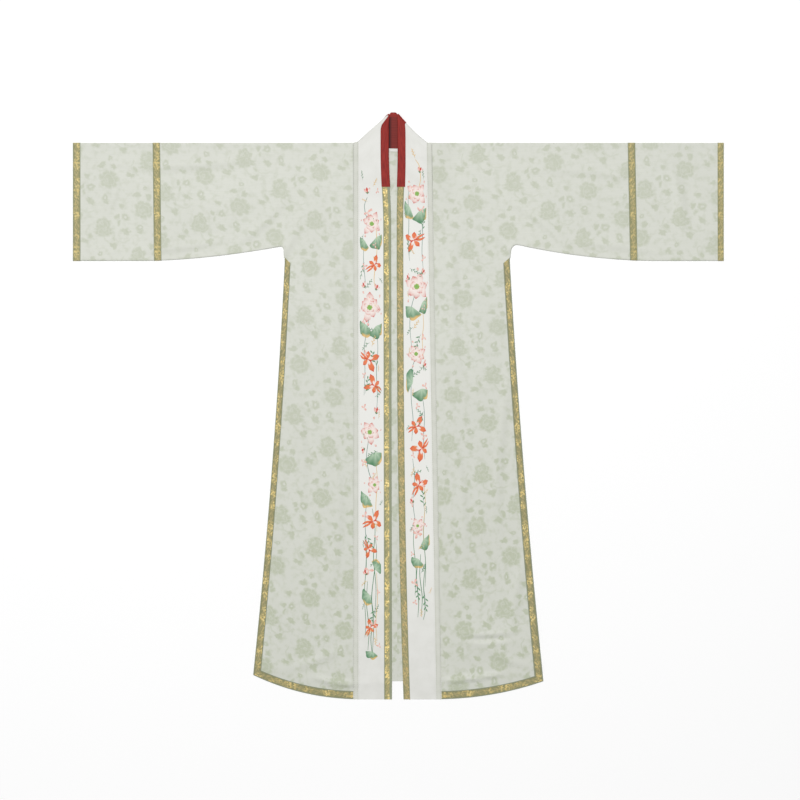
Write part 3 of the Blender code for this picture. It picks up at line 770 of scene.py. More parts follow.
@dataclass(frozen=True)
class PlainWeave:
    """Plain or satin cloth of one colour, with slight unevenness, and a painted lighter stretch along its
    middle where it is set to be whiter.
    """

    name: str
    colour: Colour
    shade: Colour
    pitch: float = 0.0006
    roughness: float = 0.6
    sheen: float = 0.1
    relief: float = 0.5
    # Share by which the middle stretch of the cloth is painted lighter, as painted light.
    whiter: float = 0.0

    def make(self) -> Material:
        """Build the material."""
        net = Wiring(self.name)
        place = net.cloth_place()
        uneven = net.noise(place, 38.0, 3.0)
        threads = net.threads(place, self.pitch)
        share = net.times(net.ease(uneven, 0.30, 0.75), net.scaled(threads, 0.4, 0.6))
        colour = net.blend(share, self.colour, self.shade)
        # Painted light: the cloth is paler along the middle of its length and fades back to its own colour
        # towards the neck and the hem.
        if self.whiter:
            _, y = net.split(net.object_place())
            lit_stretch = net.times(net.ease(y, 0.50, 0.40), net.ease(y, -0.55, -0.30))
            pale = tuple(min(part * (1.0 + self.whiter), 0.92) for part in self.colour)
            colour = net.blend(lit_stretch, colour, pale)
        return net.dress(Base_Color=colour, Roughness=self.roughness,
                         Normal=net.bump(threads, HAIR, self.relief),
                         Sheen_Weight=self.sheen, Specular_IOR_Level=0.35)


@dataclass(frozen=True)
class RedSatin:
    """Plain red satin of the guard, with painted shade low down inside the collar, a darker painted shadow
    on its left, and the crest at the top of the neck left mostly lit.
    """

    name: str = "red_satin"
    colour: Colour = linear_colour(151, 43, 35)
    streak: Colour = linear_colour(126, 31, 28)
    # Colours of the painted shade inside the collar and of the darker painted shadow on its left; below the
    # given height the painted shade sets in.
    deep: Colour = linear_colour(114, 37, 32)
    painted_shadow_left: Colour = linear_colour(66, 20, 22)
    painted_shade_below: float = 0.0034
    inner_reach: float = 0.016
    pitch: float = 0.0005
    streaks: float = 420.0

    def make(self) -> Material:
        """Build the material."""
        net = Wiring(self.name)
        place = net.cloth_place()
        along, across = net.split(place)
        threads = net.threads(place, self.pitch)
        streaks = net.noise(net.join(net.times(along, 0.12), across), self.streaks)
        colour = net.blend(net.ease(streaks, 0.35, 0.7), self.colour, self.streak)
        # Painted shade low down inside the collar, with a darker painted shadow on its left; the crest at
        # the top of the neck keeps most of its lit colour.
        x, y, z = net.split(net.object_place(), 3)
        inside = net.blend(net.ease(streaks, 0.35, 0.65), self.deep, toned(self.deep, 1.25))
        inside = net.blend(net.ease(x, -0.0125, -0.0200), inside, self.painted_shadow_left)
        crest = net.ease(y, 0.634, 0.642)
        low = net.ease(z, self.painted_shade_below + 0.0012, self.painted_shade_below)
        low = net.times(low, net.scaled(crest, -0.75, 1.0))
        low = net.times(low, net.ease(across, self.inner_reach + 0.003, self.inner_reach))
        colour = net.blend(low, colour, inside)
        return net.dress(Base_Color=colour, Roughness=0.6,
                         Normal=net.bump(threads, HAIR, 0.4), Specular_IOR_Level=0.18)


@dataclass(frozen=True)
class GoldBrocade:
    """Narrow woven trim: gold scrolls that catch the light unevenly, between duller edges; its whole colour
    can be scaled as painted shade and light, and one side can carry a painted shadow.
    """

    name: str
    shine: float = 1.0
    # Scale of the whole colour: below 1 it is painted shade, above 1 painted light.
    shade: float = 1.0
    # Strength of a painted shadow along the side of the strip with negative width.
    edge_shadow: float = 0.0
    ground: Colour = linear_colour(146, 145, 105)
    edge: Colour = linear_colour(143, 149, 125)
    dull: Colour = linear_colour(187, 172, 124)
    gold: Colour = linear_colour(224, 196, 120)
    bright: Colour = linear_colour(246, 228, 164)
    repeat: float = 0.0245
    half_width: float = 0.0072
    wander: float = 0.014
    wavers: float = 95.0
    patches: float = 36.0
    knots: float = 200.0
    glints: float = 380.0
    rib: float = 0.0008
    swing: float = 0.34
    relief: float = 0.0002
    leaves: tuple[tuple[float, float, float, float], ...] = (
        (0.25, -0.28, 0.50, 0.9), (0.75, 0.30, 0.52, 0.9), (0.02, 0.50, 0.24, -0.6),
        (0.52, -0.52, 0.24, -0.6), (0.45, 0.55, 0.18, 0.3), (0.95, -0.55, 0.18, 0.3))

    def scrolls(self, net: Wiring, along: Socket, height: Socket) -> Socket:
        """Return 1 on a scroll and 0 beside it, with the height across the trim from -1 to 1."""
        turn = net.times(along, math.tau / self.repeat)
        vine = net.times(net.math("SINE", turn), self.swing)
        stem = net.math("ABSOLUTE", net.math("SUBTRACT", height, vine))
        shown = [net.ease(stem, 0.20, 0.06)]
        for phase, side, size, slope in self.leaves:
            offset = net.math("SUBTRACT", net.math("DIVIDE", along, self.repeat), phase)
            near = net.times(net.math("WRAP", offset, 0.5, -0.5), self.repeat / self.half_width / 1.25)
            rise = net.math("SUBTRACT", height, side)
            slant = net.scaled(rise, slope, near)
            square = net.times(slant, slant)
            radius = net.math("SQRT", net.scaled(rise, rise, square))
            shown.append(net.ease(radius, size * 1.15, size * 0.6))
        return net.largest(shown)

    def make(self) -> Material:
        """Build the material."""
        net = Wiring(self.name)
        place = net.cloth_place()
        along, across = net.split(place)
        waver = net.math("SUBTRACT", net.noise(place, self.wavers, 3.0), 0.5)
        along = net.scaled(waver, self.wander, along)
        height = net.math("DIVIDE", across, self.half_width)
        swung = net.scaled(waver, -1.2, height)
        inside = net.ease(net.math("ABSOLUTE", height), 1.02, 0.86)
        lit = net.times(net.ease(net.noise(place, self.patches), 0.42, 0.58), self.shine)
        blobs = net.ease(net.noise(place, self.knots, 1.0), 0.46, 0.54)
        shown = net.times(self.scrolls(net, along, swung), 0.8)
        shown = net.times(shown, net.scaled(blobs, 0.45, 0.55))
        shown = net.math("MAXIMUM", shown, net.times(blobs, lit))
        # Painted shadow along one side of the strip: it takes the edge colour and loses its gold.
        shadow_share = net.times(net.ease(height, -0.36, -0.56), self.edge_shadow)
        shown = net.times(shown, net.scaled(shadow_share, -0.95, 1.0))
        shown = net.times(shown, inside)
        base = net.blend(inside, self.edge, self.ground)
        base = net.blend(shadow_share, base, self.edge)
        thread = net.blend(lit, self.dull, self.gold)
        glint = net.ease(net.noise(place, self.glints), 0.46, 0.62)
        thread = net.blend(net.times(glint, lit), thread, self.bright)
        colour = net.blend(shown, base, thread)
        # The whole colour scaled by shade: painted shade below 1, painted light above 1.
        colour = net.vector("MULTIPLY", colour, (self.shade, self.shade, self.shade))
        ribs = net.math("SINE", net.times(along, math.tau / self.rib))
        relief = net.scaled(ribs, 0.2, shown)
        return net.dress(Base_Color=colour, Metallic=net.times(shown, 0.15),
                         Roughness=net.scaled(shown, -0.15, 0.65),
                         Normal=net.bump(relief, self.relief, 0.6), Specular_IOR_Level=0.3)


@dataclass(frozen=True)
class StrandedThread:
    """Silk thread whose colour the mesh carries, with its strands lengthwise."""

    name: str
    roughness: float = 0.45
    strand: float = 0.0005
    fuzz: float = 700.0

    def make(self) -> Material:
        """Build the material."""
        net = Wiring(self.name)
        dyed = net.node("ShaderNodeVertexColor", layer_name="thread").outputs["Color"]
        _, across = net.split(net.cloth_place())
        strands = net.math("SINE", net.times(across, math.tau / self.strand))
        uneven = net.noise(net.cloth_place(), self.fuzz, 1.0)
        height = net.math("ADD", strands, uneven)
        dark = net.vector("MULTIPLY", dyed, (0.90, 0.88, 0.88))
        colour = net.blend(net.times(uneven, 0.5), dyed, dark)
        return net.dress(Base_Color=colour, Roughness=self.roughness,
                         Normal=net.bump(height, HAIR, 0.4), Sheen_Weight=0.1)


@dataclass(frozen=True)
class SewingThread:
    """Plain sewing thread."""

    name: str
    colour: Colour

    def make(self) -> Material:
        """Build the material."""
        net = Wiring(self.name)
        uneven = net.noise(net.object_place(), 300.0, 1.0)
        colour = net.blend(uneven, self.colour, toned(self.colour, 0.85))
        return net.dress(Base_Color=colour, Roughness=0.55, Specular_IOR_Level=0.3)


# Cloth pieces

@dataclass
class Piece:
    """A finished object with the part that it stands for and notes of its slot, cut and area."""

    item: Object
    slot: str
    stands_for: str = ""
    cut: Spot | None = None
    area: float = 0.0

    def register(self) -> None:
        """Attach the piece to the root and hide the part that it replaces."""
        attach(self.item, "root")
        if self.stands_for:
            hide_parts(self.stands_for)
        LOG.info("%s: %d faces", self.item.name, len(self.item.data.polygons))


def between(levels: Sequence[Array], place: Array) -> Array:
    """Interpolate through a list of arrays.

    Args:
        levels: Arrays or numbers, each of the result's shape.
        place: Column of positions in the list, 0 at the first array.

    Returns:
        Values at those positions.
    """
    stack = np.stack(np.broadcast_arrays(*levels))
    index = np.minimum(np.floor(place).astype(int), len(levels) - 2)[:, None]
    columns = np.arange(stack.shape[2])[None, :]
    rows = np.arange(len(place))[:, None]
    return mix(stack[index, rows, columns], stack[index + 1, rows, columns], place[:, None] - index)


def edge_seams(strip: Array, share: float, wall: float) -> list[Array]:
    """Find the stitching lines just inside both edges of a strip.

    Args:
        strip: Rows along the strip by columns across it by 3.
        share: How far in they lie, as a share of the first and last column's width.
        wall: Thickness of the strip.

    Returns:
        The two lines, resting on the strip.
    """
    lift = np.array([0.0, 0.0, wall / 2 + HAIR])
    return [mix(strip[:, edge], strip[:, beside], share) + lift for edge, beside in ((0, 1), (-1, -2))]


@dataclass
class SleeveShape:
    """Places on one sleeve, by distance from the centre and share of its depth."""

    plan: RobePlan
    side: Side

    @property
    def start(self) -> float:
        """Distance of the side seam from the middle of the span."""
        return self.plan.chest_half + self.side.sign * self.plan.centre_x

    def fold_line(self, x: Array) -> Array:
        """Return where the cloth starts to turn over the shoulder."""
        level = self.plan.front_level(self.side, x, self.plan.shoulder_y)
        return self.plan.shoulder_y - (level - self.plan.back_mid) / 2 - self.plan.cloth / 2

    def grid(self, distances: Array, fractions: Array, front: bool, offset: float = 0.0) -> Array:
        """Return the middle of the cloth.

        Args:
            distances: Distances from the centre.
            fractions: Shares of the depth, 0 at the shoulder.
            front: True for the upper layer, False for the one that lies beneath.
            offset: Height above the middle of the cloth.

        Returns:
            Fractions by distances by 3.
        """
        plan, side = self.plan, self.side
        flat_x = side.sign * distances
        bottom = plan.sleeve_bottom(side, flat_x)
        roll = (plan.front_level(side, flat_x, bottom) - plan.back_mid) / 2 + plan.cloth / 2
        bottom = bottom + roll * smoothstep((distances - self.start) / side.fillet)
        upper = np.maximum(distances - self.start, 0.0) / (side.join - self.start)
        outer = (plan.half_span - distances) / (plan.half_span - side.join)
        slant = side.join_tilt * np.where(distances <= side.join, upper, outer)
        share = fractions[:, None]
        x = side.sign * (distances[None, :] + slant[None, :] * share)
        y = mix(self.fold_line(flat_x)[None, :], bottom[None, :], share)
        level = plan.front_level(side, x, y) + offset if front else np.full_like(x, plan.back_mid)
        return np.stack([x, y, level], axis=-1)


@dataclass
class SidePiece:
    """What makes one piece of one half of the robe, with the stitching lines that it notes."""

    plan: RobePlan
    side: Side
    material: Material
    stitches: list[Array] = field(default_factory=list, init=False)


@dataclass
class BodyHalf(SidePiece):
    """Front, back and upper sleeve of one side, in one cloth folded over at the shoulder."""

    columns: int = 42
    neck_columns: int = 20
    upper_rows: int = 50
    lower_rows: int = 200
    back_rows: int = 110
    sleeve_columns: int = 58
    fillet_columns: int = 5
    neck_gap: float = 0.0004
    hem_rows: int = 9
    slit_rows: tuple[float, ...] = (1.34, 1.67, 2.0)
    area_rows: int = 200

    @property
    def slit_y(self) -> float:
        """Head of the side slit."""
        return self.plan.shoulder_y - self.plan.slit_depth

    def panel(self, row_places: Array, front: bool) -> Array:
        """Lay out the part of a layer between the edging and the side.

        Args:
            row_places: Rows, counted 1 at the underarm, 2 at the slit's head and 3 above the hem.
            front: True for the front, False for the back.

        Returns:
            Rows by columns by 3.
        """
        plan, side = self.plan, self.side
        shape = SleeveShape(plan, side)
        bottom = plan.shoulder_y - plan.underarm_depth - side.fillet
        shares = even_shares(self.columns)[None, :]
        y = np.full((len(row_places), self.columns + 1), plan.shoulder_y)
        for _ in range(4):
            x = mix(plan.panel_edge(side, y), plan.side_edge(side, y), shares)
            hem = plan.front_hem(side, x)
            levels = [shape.fold_line(x), np.full_like(x, bottom), np.full_like(x, self.slit_y)]
            if front:
                levels += [hem + plan.hem_drop_start, hem]
            else:
                levels += [hem + plan.back_shorter]
            y = between(levels, row_places)
        level = plan.front_level(side, x, y) if front else np.full_like(x, plan.back_mid)
        return np.stack([x, y, level], axis=-1)

    def neck_strip(self, panel: Array, row_places: Array) -> Array:
        """Lay out the back between the centre seam and the first column of its panel."""
        plan, side = self.plan, self.side
        seam = plan.centre_x + side.sign * plan.seam / 2
        x = np.linspace(seam, side.sewn_x, self.neck_columns + 1)
        x = np.broadcast_to(x[None, :], (len(row_places), self.neck_columns + 1))
        top = plan.neckline(x) - self.neck_gap
        beside = panel[:, :1, 1]
        slit = int(np.argmin(np.abs(row_places - 2.0)))
        share = (beside[0] - beside) / (beside[0] - beside[slit])
        upper = mix(top, self.slit_y, np.minimum(share, 1.0))
        hem = plan.front_hem(side, x) + plan.back_shorter
        y = np.where(row_places[:, None] <= 2.0, upper, mix(self.slit_y, hem, row_places[:, None] - 2.0))
        return np.stack([x, y, np.full_like(x, plan.back_mid)], axis=-1)

    def cloth_uvs(self, places: Array, behind: bool) -> Array:
        """Return places on the cloth; the back goes on past the shoulder fold."""
        side = self.side
        start = side.weave_start
        y = 2 * self.plan.shoulder_y - places[..., 1] if behind else places[..., 1]
        across = places[..., 0] - start[0]
        drop = np.maximum(side.slack_from - places[..., 1], 0.0) * (not behind)
        return np.stack([across + 0.02 * drop,
                         y - start[1] + side.weave_lean * across + side.slack * drop], axis=-1)

    def make(self) -> Piece:
        """Build the piece."""
        plan, side = self.plan, self.side
        upper = np.concatenate([np.linspace(0, 1, self.upper_rows + 1), self.slit_rows])
        front_rows = np.concatenate([upper, np.linspace(2, 3, self.lower_rows + 1)[1:],
                                     np.linspace(3, 4, self.hem_rows + 1)[1:]])
        back_rows = np.concatenate([upper, np.linspace(2, 3, self.back_rows + 1)[1:]])
        front = self.panel(front_rows, True)
        back = self.panel(back_rows, False)
        shape = SleeveShape(plan, side)
        turns = np.linspace(0.0, math.pi / 2, self.fillet_columns + 1)
        rounded = shape.start + side.fillet * (1.0 - np.cos(turns))
        straight = np.linspace(rounded[-1], side.join - plan.seam / 2, self.sleeve_columns + 1)[1:]
        distances = np.concatenate([rounded, straight])
        fractions = upper[:self.upper_rows + 1]
        sleeve = [shape.grid(distances, fractions, layer) for layer in (True, False)]
        cloth = ClothMesh("robe_body_" + side.name)
        cloth.grid(front, self.cloth_uvs(front, False))
        whole_back = np.concatenate([self.neck_strip(back, back_rows), back], axis=1)
        cloth.grid(whole_back, self.cloth_uvs(whole_back, True))
        for layer, behind in zip(sleeve, (False, True)):
            cloth.grid(layer, self.cloth_uvs(layer, behind))
        for top, bottom in ((front[0], back[0]), (sleeve[0][0], sleeve[1][0])):
            fold = round_fold(top, bottom, np.tile([0.0, 1.0], (len(top), 1)))
            cloth.grid(fold, self.cloth_uvs(fold, False))
        slit = slice(self.upper_rows + 1, len(upper))
        top = np.concatenate([sleeve[0][-1][::-1], front[slit, -1]])
        bottom = np.concatenate([sleeve[1][-1][::-1], back[slit, -1]])
        angles = np.concatenate([np.full(len(straight), math.pi / 2), turns[::-1],
                                 np.zeros(len(upper) - self.upper_rows - 1)])
        outward = np.column_stack([side.sign * np.cos(angles), -np.sin(angles)])
        under = round_fold(top, bottom, outward)
        cloth.grid(under, self.cloth_uvs(under, False))
        item = cloth.finish(plan.cloth, self.material)
        heights = np.linspace(plan.hem_y, plan.shoulder_y, self.area_rows)
        width = np.abs(plan.side_edge(side, heights) - plan.panel_edge(side, heights))
        back_width = np.abs(plan.side_edge(side, heights) - plan.centre_x)
        sleeve_area = 2 * (side.join - shape.start) * (plan.underarm_depth + plan.sleeve_flare / 2)
        area = float(np.trapz(width + back_width, heights)) + sleeve_area
        return Piece(item, "sage_silk", "body_" + side.name, (side.join, 2 * plan.length), area)


@dataclass
class SleeveEnd(SidePiece):
    """Flat tube from the sleeve join to the cuff."""

    columns: int = 38
    rows: int = 50

    def make(self) -> Piece:
        """Build the piece."""
        plan, side = self.plan, self.side
        distances = np.linspace(side.join + plan.seam / 2, plan.half_span, self.columns + 1)
        fractions = even_shares(self.rows)
        shape = SleeveShape(plan, side)
        front, back = (shape.grid(distances, fractions, layer) for layer in (True, False))
        cloth = ClothMesh("robe_sleeve_end_" + side.name)
        grids = [front, back]
        for row, outward in ((0, 1.0), (-1, -1.0)):
            directions = np.tile([0.0, outward], (len(distances), 1))
            grids.append(round_fold(front[row], back[row], directions))
        for places in grids:
            uvs = places[..., :2] - np.array(side.end_weave_start)
            uvs[..., 1] += side.end_weave_lean * uvs[..., 0]
            cloth.grid(places, uvs)
        item = cloth.finish(plan.cloth, self.material)
        length = plan.half_span - side.join
        depth = plan.underarm_depth + plan.sleeve_flare
        return Piece(item, "sage_silk", "sleeve_end_" + side.name, (length, 2 * depth),
                     2 * length * depth)


@dataclass
class SleeveTrim(SidePiece):
    """Brocade strip that goes once round the sleeve."""

    name: str
    first: float
    last: float
    wall: float = 0.0003
    offset: float = 0.00062
    rows: int = 50
    columns: int = 4
    turn_reach: float = 75.0
    turn_steps: int = 8

    def make(self) -> Piece:
        """Build the piece and note its seams."""
        plan = self.plan
        shape = SleeveShape(plan, self.side)
        distances = np.linspace(self.first, self.last, self.columns + 1)
        fractions = even_shares(self.rows)
        over = shape.grid(distances, fractions, True, self.offset)
        beneath = shape.grid(distances, fractions, False)
        beneath[..., 2] = self.wall / 2 + SPECK
        turns = [self.turn(over[row], outward) for row, outward in ((-1, -1.0), (0, 1.0))]
        loop = np.concatenate([over, turns[0], beneath[::-1], turns[1][::-1], over[:1]])
        cloth = ClothMesh("robe_" + self.name + "_" + self.side.name)
        cloth.grid(loop, ribbon_uvs(loop))
        item = cloth.finish(self.wall, self.material)
        self.stitches += edge_seams(over, 0.3, self.wall)
        width = self.last - self.first
        depth = 2 * (plan.underarm_depth + plan.sleeve_flare)
        return Piece(item, "gold_brocade", self.name + "_" + self.side.name, (width, depth),
                     width * depth)

    def turn(self, edge: Array, outward: float) -> Array:
        """Take the strip's last places on top round a fold: outward is 1 at the shoulder, -1 beneath."""
        level = edge[:, 2] - self.offset
        radius = (level - self.plan.back_mid) / 2
        rows = []
        for angle in np.linspace(self.turn_reach, -self.turn_reach, self.turn_steps + 1):
            turn = math.radians(angle)
            reach = (radius + self.offset) * math.cos(turn)
            height = (level + self.plan.back_mid) / 2 + (radius + self.offset) * math.sin(turn)
            rows.append(np.column_stack([edge[:, 0], edge[:, 1] + outward * reach, height]))
        return np.stack(rows)


@dataclass
class SlitTrim(SidePiece):
    """Brocade strip down the side slit and along the hem, mitred at its corner."""

    front: bool
    upper_share: float = 0.78
    height: float = 0.0176
    slant: float = 0.013
    wall: float = 0.0005
    offset: float = 0.00075
    slit_rows: int = 149
    hem_rows: int = 45
    columns: int = 4

    def hem(self, x: Array) -> Array:
        """Return the hem that the strip follows."""
        return self.plan.front_hem(self.side, x) + (0.0 if self.front else self.plan.back_shorter)

    def raise_up(self, x: Array, y: Array) -> Array:
        """Give places in plan their heights."""
        if self.front:
            level = self.plan.front_level(self.side, x, y) + self.offset
        else:
            level = np.full_like(x, self.plan.under_trim / 2 + SPECK)
        return np.stack([x, y, level], axis=-1)

    def corner(self, inset: float, rise: float) -> Spot:
        """Find the corner of the line at an inset from the side and a rise above the hem."""
        x = y = 0.0
        for _ in range(8):
            x = float(self.plan.side_edge(self.side, y)) - self.side.sign * inset
            y = float(self.hem(x)) + rise
        return x, y

    def make(self) -> Piece:
        """Build the piece and note its seams."""
        plan, side = self.plan, self.side
        width = side.slit_trim
        outer, inner = self.corner(0.0, 0.0), self.corner(width, self.height)
        head = plan.shoulder_y - plan.slit_depth
        down = even_shares(self.slit_rows)[:, None]
        across = even_shares(self.columns)[None, :]
        y = mix(mix(head, outer[1], down), mix(head - self.slant, inner[1], down), across)
        fall = np.clip((head - y) / (head - outer[1]), 0.0, 1.0)
        x = plan.side_edge(side, y) - side.sign * width * mix(self.upper_share, 1.0, fall ** 2) * across
        strip = self.raise_up(x, y)
        strip_uvs = np.stack([plan.shoulder_y - y, np.broadcast_to((across - 0.5) * width, y.shape)],
                             axis=-1)
        end = plan.centre_x if not self.front else float(plan.panel_edge(side, plan.hem_y))
        along = even_shares(self.hem_rows)[:, None]
        hem_x = mix(mix(outer[0], end, along), mix(inner[0], end, along), across)
        hem_y = self.hem(hem_x) + self.height * across
        hem_strip = self.raise_up(hem_x, hem_y)
        hem_strip[0] = strip[-1]
        hem_uvs = np.stack([np.abs(hem_x), np.broadcast_to((across - 0.5) * self.height, hem_x.shape)],
                           axis=-1)
        layer = "hem" if self.front else "back"
        cloth = ClothMesh(f"robe_{layer}_trim_{side.name}")
        cloth.grid(strip, strip_uvs)
        cloth.grid(hem_strip, hem_uvs)
        item = cloth.finish(self.wall if self.front else plan.under_trim, self.material)
        if self.front:
            self.stitches += edge_seams(strip, 0.35, self.wall) + edge_seams(hem_strip, 0.35, self.wall)
        slit, hem = abs(head - outer[1]), abs(outer[0] - end)
        area = (1.0 + 2 * self.upper_share) / 3 * width * slit + self.height * hem
        node = "hem_trim_" + side.name if self.front else ""
        return Piece(item, "gold_brocade", node, (max(width, self.height), slit + hem), area)


@dataclass
class FrontEdging(SidePiece):
    """Narrow plain strip between the front and the collar band."""

    wall: float = 0.001
    crown: float = 0.0003
    columns: int = 5
    rows: int = 219
    turn_steps: int = 8

    def make(self) -> Piece:
        """Build the piece and note its seams."""
        plan, side = self.plan, self.side
        shape = SleeveShape(plan, side)
        edge = plan.panel_edge(side, plan.shoulder_y)
        share = even_shares(self.columns)[None, :]
        top = mix(plan.shoulder_y + side.corner, float(shape.fold_line(np.array([edge]))[0]), share)
        y = mix(top, plan.hem_y, even_shares(self.rows)[:, None])
        inner = plan.sewn_edge(side, y) + side.sign * plan.seam
        x = inner + side.sign * (plan.edging_width - plan.seam) * share
        level = plan.front_level(side, plan.panel_edge(side, y), y)
        level = level + self.crown * np.sin(math.pi * share) - HAIR
        places = np.stack([x, y, level], axis=-1)
        radius = (places[0, :, 2] - plan.back_mid) / 2
        aslant = (1.0 - share[0]) * math.sqrt(0.5)
        turned = []
        for angle in np.linspace(math.pi, 0.0, self.turn_steps + 1)[:-1]:
            row = places[0].copy()
            row[:, 0] += side.sign * aslant * radius * math.sin(angle)
            row[:, 1] += np.sqrt(1.0 - aslant ** 2) * radius * math.sin(angle)
            row[:, 2] += radius * (math.cos(angle) - 1.0)
            turned.append(row)
        places = np.concatenate([np.stack(turned), places])
        cloth = ClothMesh("robe_edging_" + side.name)
        cloth.grid(places, ribbon_uvs(places))
        item = cloth.finish(self.wall, self.material)
        self.stitches += edge_seams(places, 0.7, self.wall)
        return Piece(item, "plain_edging", "front_edging_" + side.name,
                     (plan.edging_width, plan.length), plan.edging_width * plan.length)


@dataclass
class BandRows:
    """Rows across the collar band: their free and sewn ends, the way that they face and their bow."""

    free: Array
    sewn: Array
    normal: Array
    bow: Array

    def joined(self, *others: "BandRows") -> "BandRows":
        """Return these rows followed by others."""
        every = (self, *others)
        return BandRows(*(np.concatenate([getattr(rows, name) for rows in every])
                          for name in ("free", "sewn", "normal", "bow")))

    def reversed(self) -> "BandRows":
        """Return the rows in the opposite order."""
        return BandRows(self.free[::-1], self.sewn[::-1], self.normal[::-1], self.bow[::-1])

    def places(self, fractions: Array, offsets: Array) -> Array:
        """Return places on the rows.

        Args:
            fractions: Shares of the width from the free edge, for all rows or for each.
            offsets: How far each lies out from the middle of the band, for all rows or for each.

        Returns:
            Rows by fractions by 3.
        """
        share = np.broadcast_to(fractions, (len(self.free), np.shape(fractions)[-1]))
        grid = mix(self.free[:, None], self.sewn[:, None], share[..., None])
        grid[..., 1] -= self.bow[:, None] * np.sin(math.pi * share)
        return grid + self.normal[:, None] * np.broadcast_to(offsets, share.shape)[..., None]


@dataclass
class Collar:
    """Band round the neck and down both fronts, with its guard and the trims on its edges."""

    plan: RobePlan
    white: Material
    golds: dict[str, Material]
    red: Material
    band_wall: float = 0.0012
    guard_wall: float = 0.0006
    trim_wall: float = 0.0005
    guard_share: float = 0.255
    guard_taper: float = 0.0085
    guard_crown: float = 0.0004
    lining_share: float = 0.92
    skew_power: float = 1.4
    fold_drop: float = 0.0070
    back_edge_power: int = 6
    seam_share: float = 0.968
    band_width: float = 0.070
    round_neck: float = 0.16
    guard_width: float = 0.084
    guard_behind: float = 0.20
    crown: float = 0.0002
    lower_rows: int = 200
    upper_rows: int = 24
    fold_steps: int = 10
    back_rows: int = 32
    band_columns: int = 12
    lining_columns: int = 8
    edge_steps: int = 8
    guard_columns: int = 5
    trim_columns: int = 4
    trim_seam: float = 0.35
    trim_start: float = 0.317
    guard_seam: float = 0.45
    stitches: list[Array] = field(default_factory=list)
    red_stitches: list[Array] = field(default_factory=list)
    white_stitches: list[Array] = field(default_factory=list)

    @property
    def offset(self) -> float:
        """Middle of the guard, out from the middle of the band."""
        return self.band_wall / 2 + self.crown + HALF_HAIR + self.guard_wall / 2

    @property
    def neck_mid(self) -> float:
        """Height of the free edge behind the neck, which keeps the guard off the floor."""
        kept = 1.0 - self.guard_share
        return (self.offset + self.guard_wall / 2 + HAIR
                - self.guard_share * self.band_wall / 2) / kept

    def level(self, side: Side, y: Array) -> Array:
        """Return the middle height of the front band."""
        sewn = self.plan.sewn_edge(side, y)
        return self.plan.front_level(side, sewn, y) + (self.band_wall - self.plan.cloth) / 2

    def front_rows(self, side: Side, depth: Array, skew: Array) -> BandRows:
        """Return rows across a front band.

        Args:
            side: Which front.
            depth: Depths of the sewn ends below the shoulder fold.
            skew: How far each row has turned to the fold at the neck, from 0 to 1.

        Returns:
            The rows.
        """
        plan = self.plan
        y = plan.shoulder_y - depth
        free_y = y + skew * (plan.top_y - self.fold_drop - plan.shoulder_y - side.corner)
        level = self.level(side, y)
        free = np.column_stack([plan.free_edge(side, free_y), free_y, level])
        sewn = np.column_stack([plan.sewn_edge(side, y), y, level])
        return BandRows(free, sewn, np.tile([0.0, 0.0, 1.0], (len(depth), 1)), side.fold_bow * skew)

    def lower(self, side: Side) -> BandRows:
        """Return the rows from the hem up to the end of the guard."""
        depth = np.linspace(self.plan.length, self.plan.guard_depth, self.lower_rows + 1)
        return self.front_rows(side, depth, np.zeros_like(depth))

    def upper(self, side: Side) -> BandRows:
        """Return the rows from the end of the guard to the fold at the neck."""
        share = even_shares(self.upper_rows)
        depth = mix(self.plan.guard_depth, -side.corner, share)
        return self.front_rows(side, depth, share ** self.skew_power)

    def behind(self) -> BandRows:
        """Return the rows behind the neck, left to right."""
        share = np.linspace(-1.0, 1.0, self.back_rows + 1)
        ends = [self.front_rows(side, np.array([-side.corner]), np.ones(1)).free[0]
                for side in (LEFT, RIGHT)]
        free = mix(ends[0][None, :], ends[1][None, :], (share[:, None] + 1) / 2)
        fall = np.abs(share) ** self.back_edge_power
        free[:, 1] = mix(self.plan.top_y - self.offset - self.guard_wall / 2, free[:, 1], fall)
        free[:, 2] = self.neck_mid
        edge = np.where(share < 0, LEFT.sewn_x, RIGHT.sewn_x)
        x = mix(self.plan.centre_x, edge, np.abs(share))
        level = np.full_like(x, self.band_wall / 2 + HAIR)
        sewn = np.column_stack([x, self.plan.neckline(x), level])
        bow = np.where(share < 0, LEFT.fold_bow, RIGHT.fold_bow) * fall
        return BandRows(free, sewn, np.tile([0.0, 0.0, -1.0], (len(share), 1)), bow)

    def fold(self, side: Side) -> BandRows:
        """Return the rows round the fold, from the front to behind the neck."""
        top = self.front_rows(side, np.array([-side.corner]), np.ones(1))
        back = self.behind()
        index = 0 if side.sign < 0 else -1
        angle = np.linspace(0.0, math.pi, self.fold_steps + 1)[1:-1]
        outward = np.array([side.sign, 1.0]) * math.sqrt(0.5)
        ends = []
        for first, second in ((top.free[0], back.free[index]), (top.sewn[0], back.sewn[index])):
            radius = (first[2] - second[2]) / 2
            plan = mix(first[None, :2], second[None, :2], (angle / math.pi)[:, None])
            plan = plan + radius * np.sin(angle)[:, None] * outward
            ends.append(np.column_stack([plan, (first[2] + second[2]) / 2 + radius * np.cos(angle)]))
        normal = np.column_stack([np.sin(angle)[:, None] * outward, np.cos(angle)])
        return BandRows(ends[0], ends[1], normal, np.full(len(angle), side.fold_bow))

    def neck(self) -> BandRows:
        """Return the rows between the two ends of the guard, left to right."""
        return self.upper(LEFT).joined(self.fold(LEFT), self.behind(), self.fold(RIGHT).reversed(),
                                       self.upper(RIGHT).reversed())

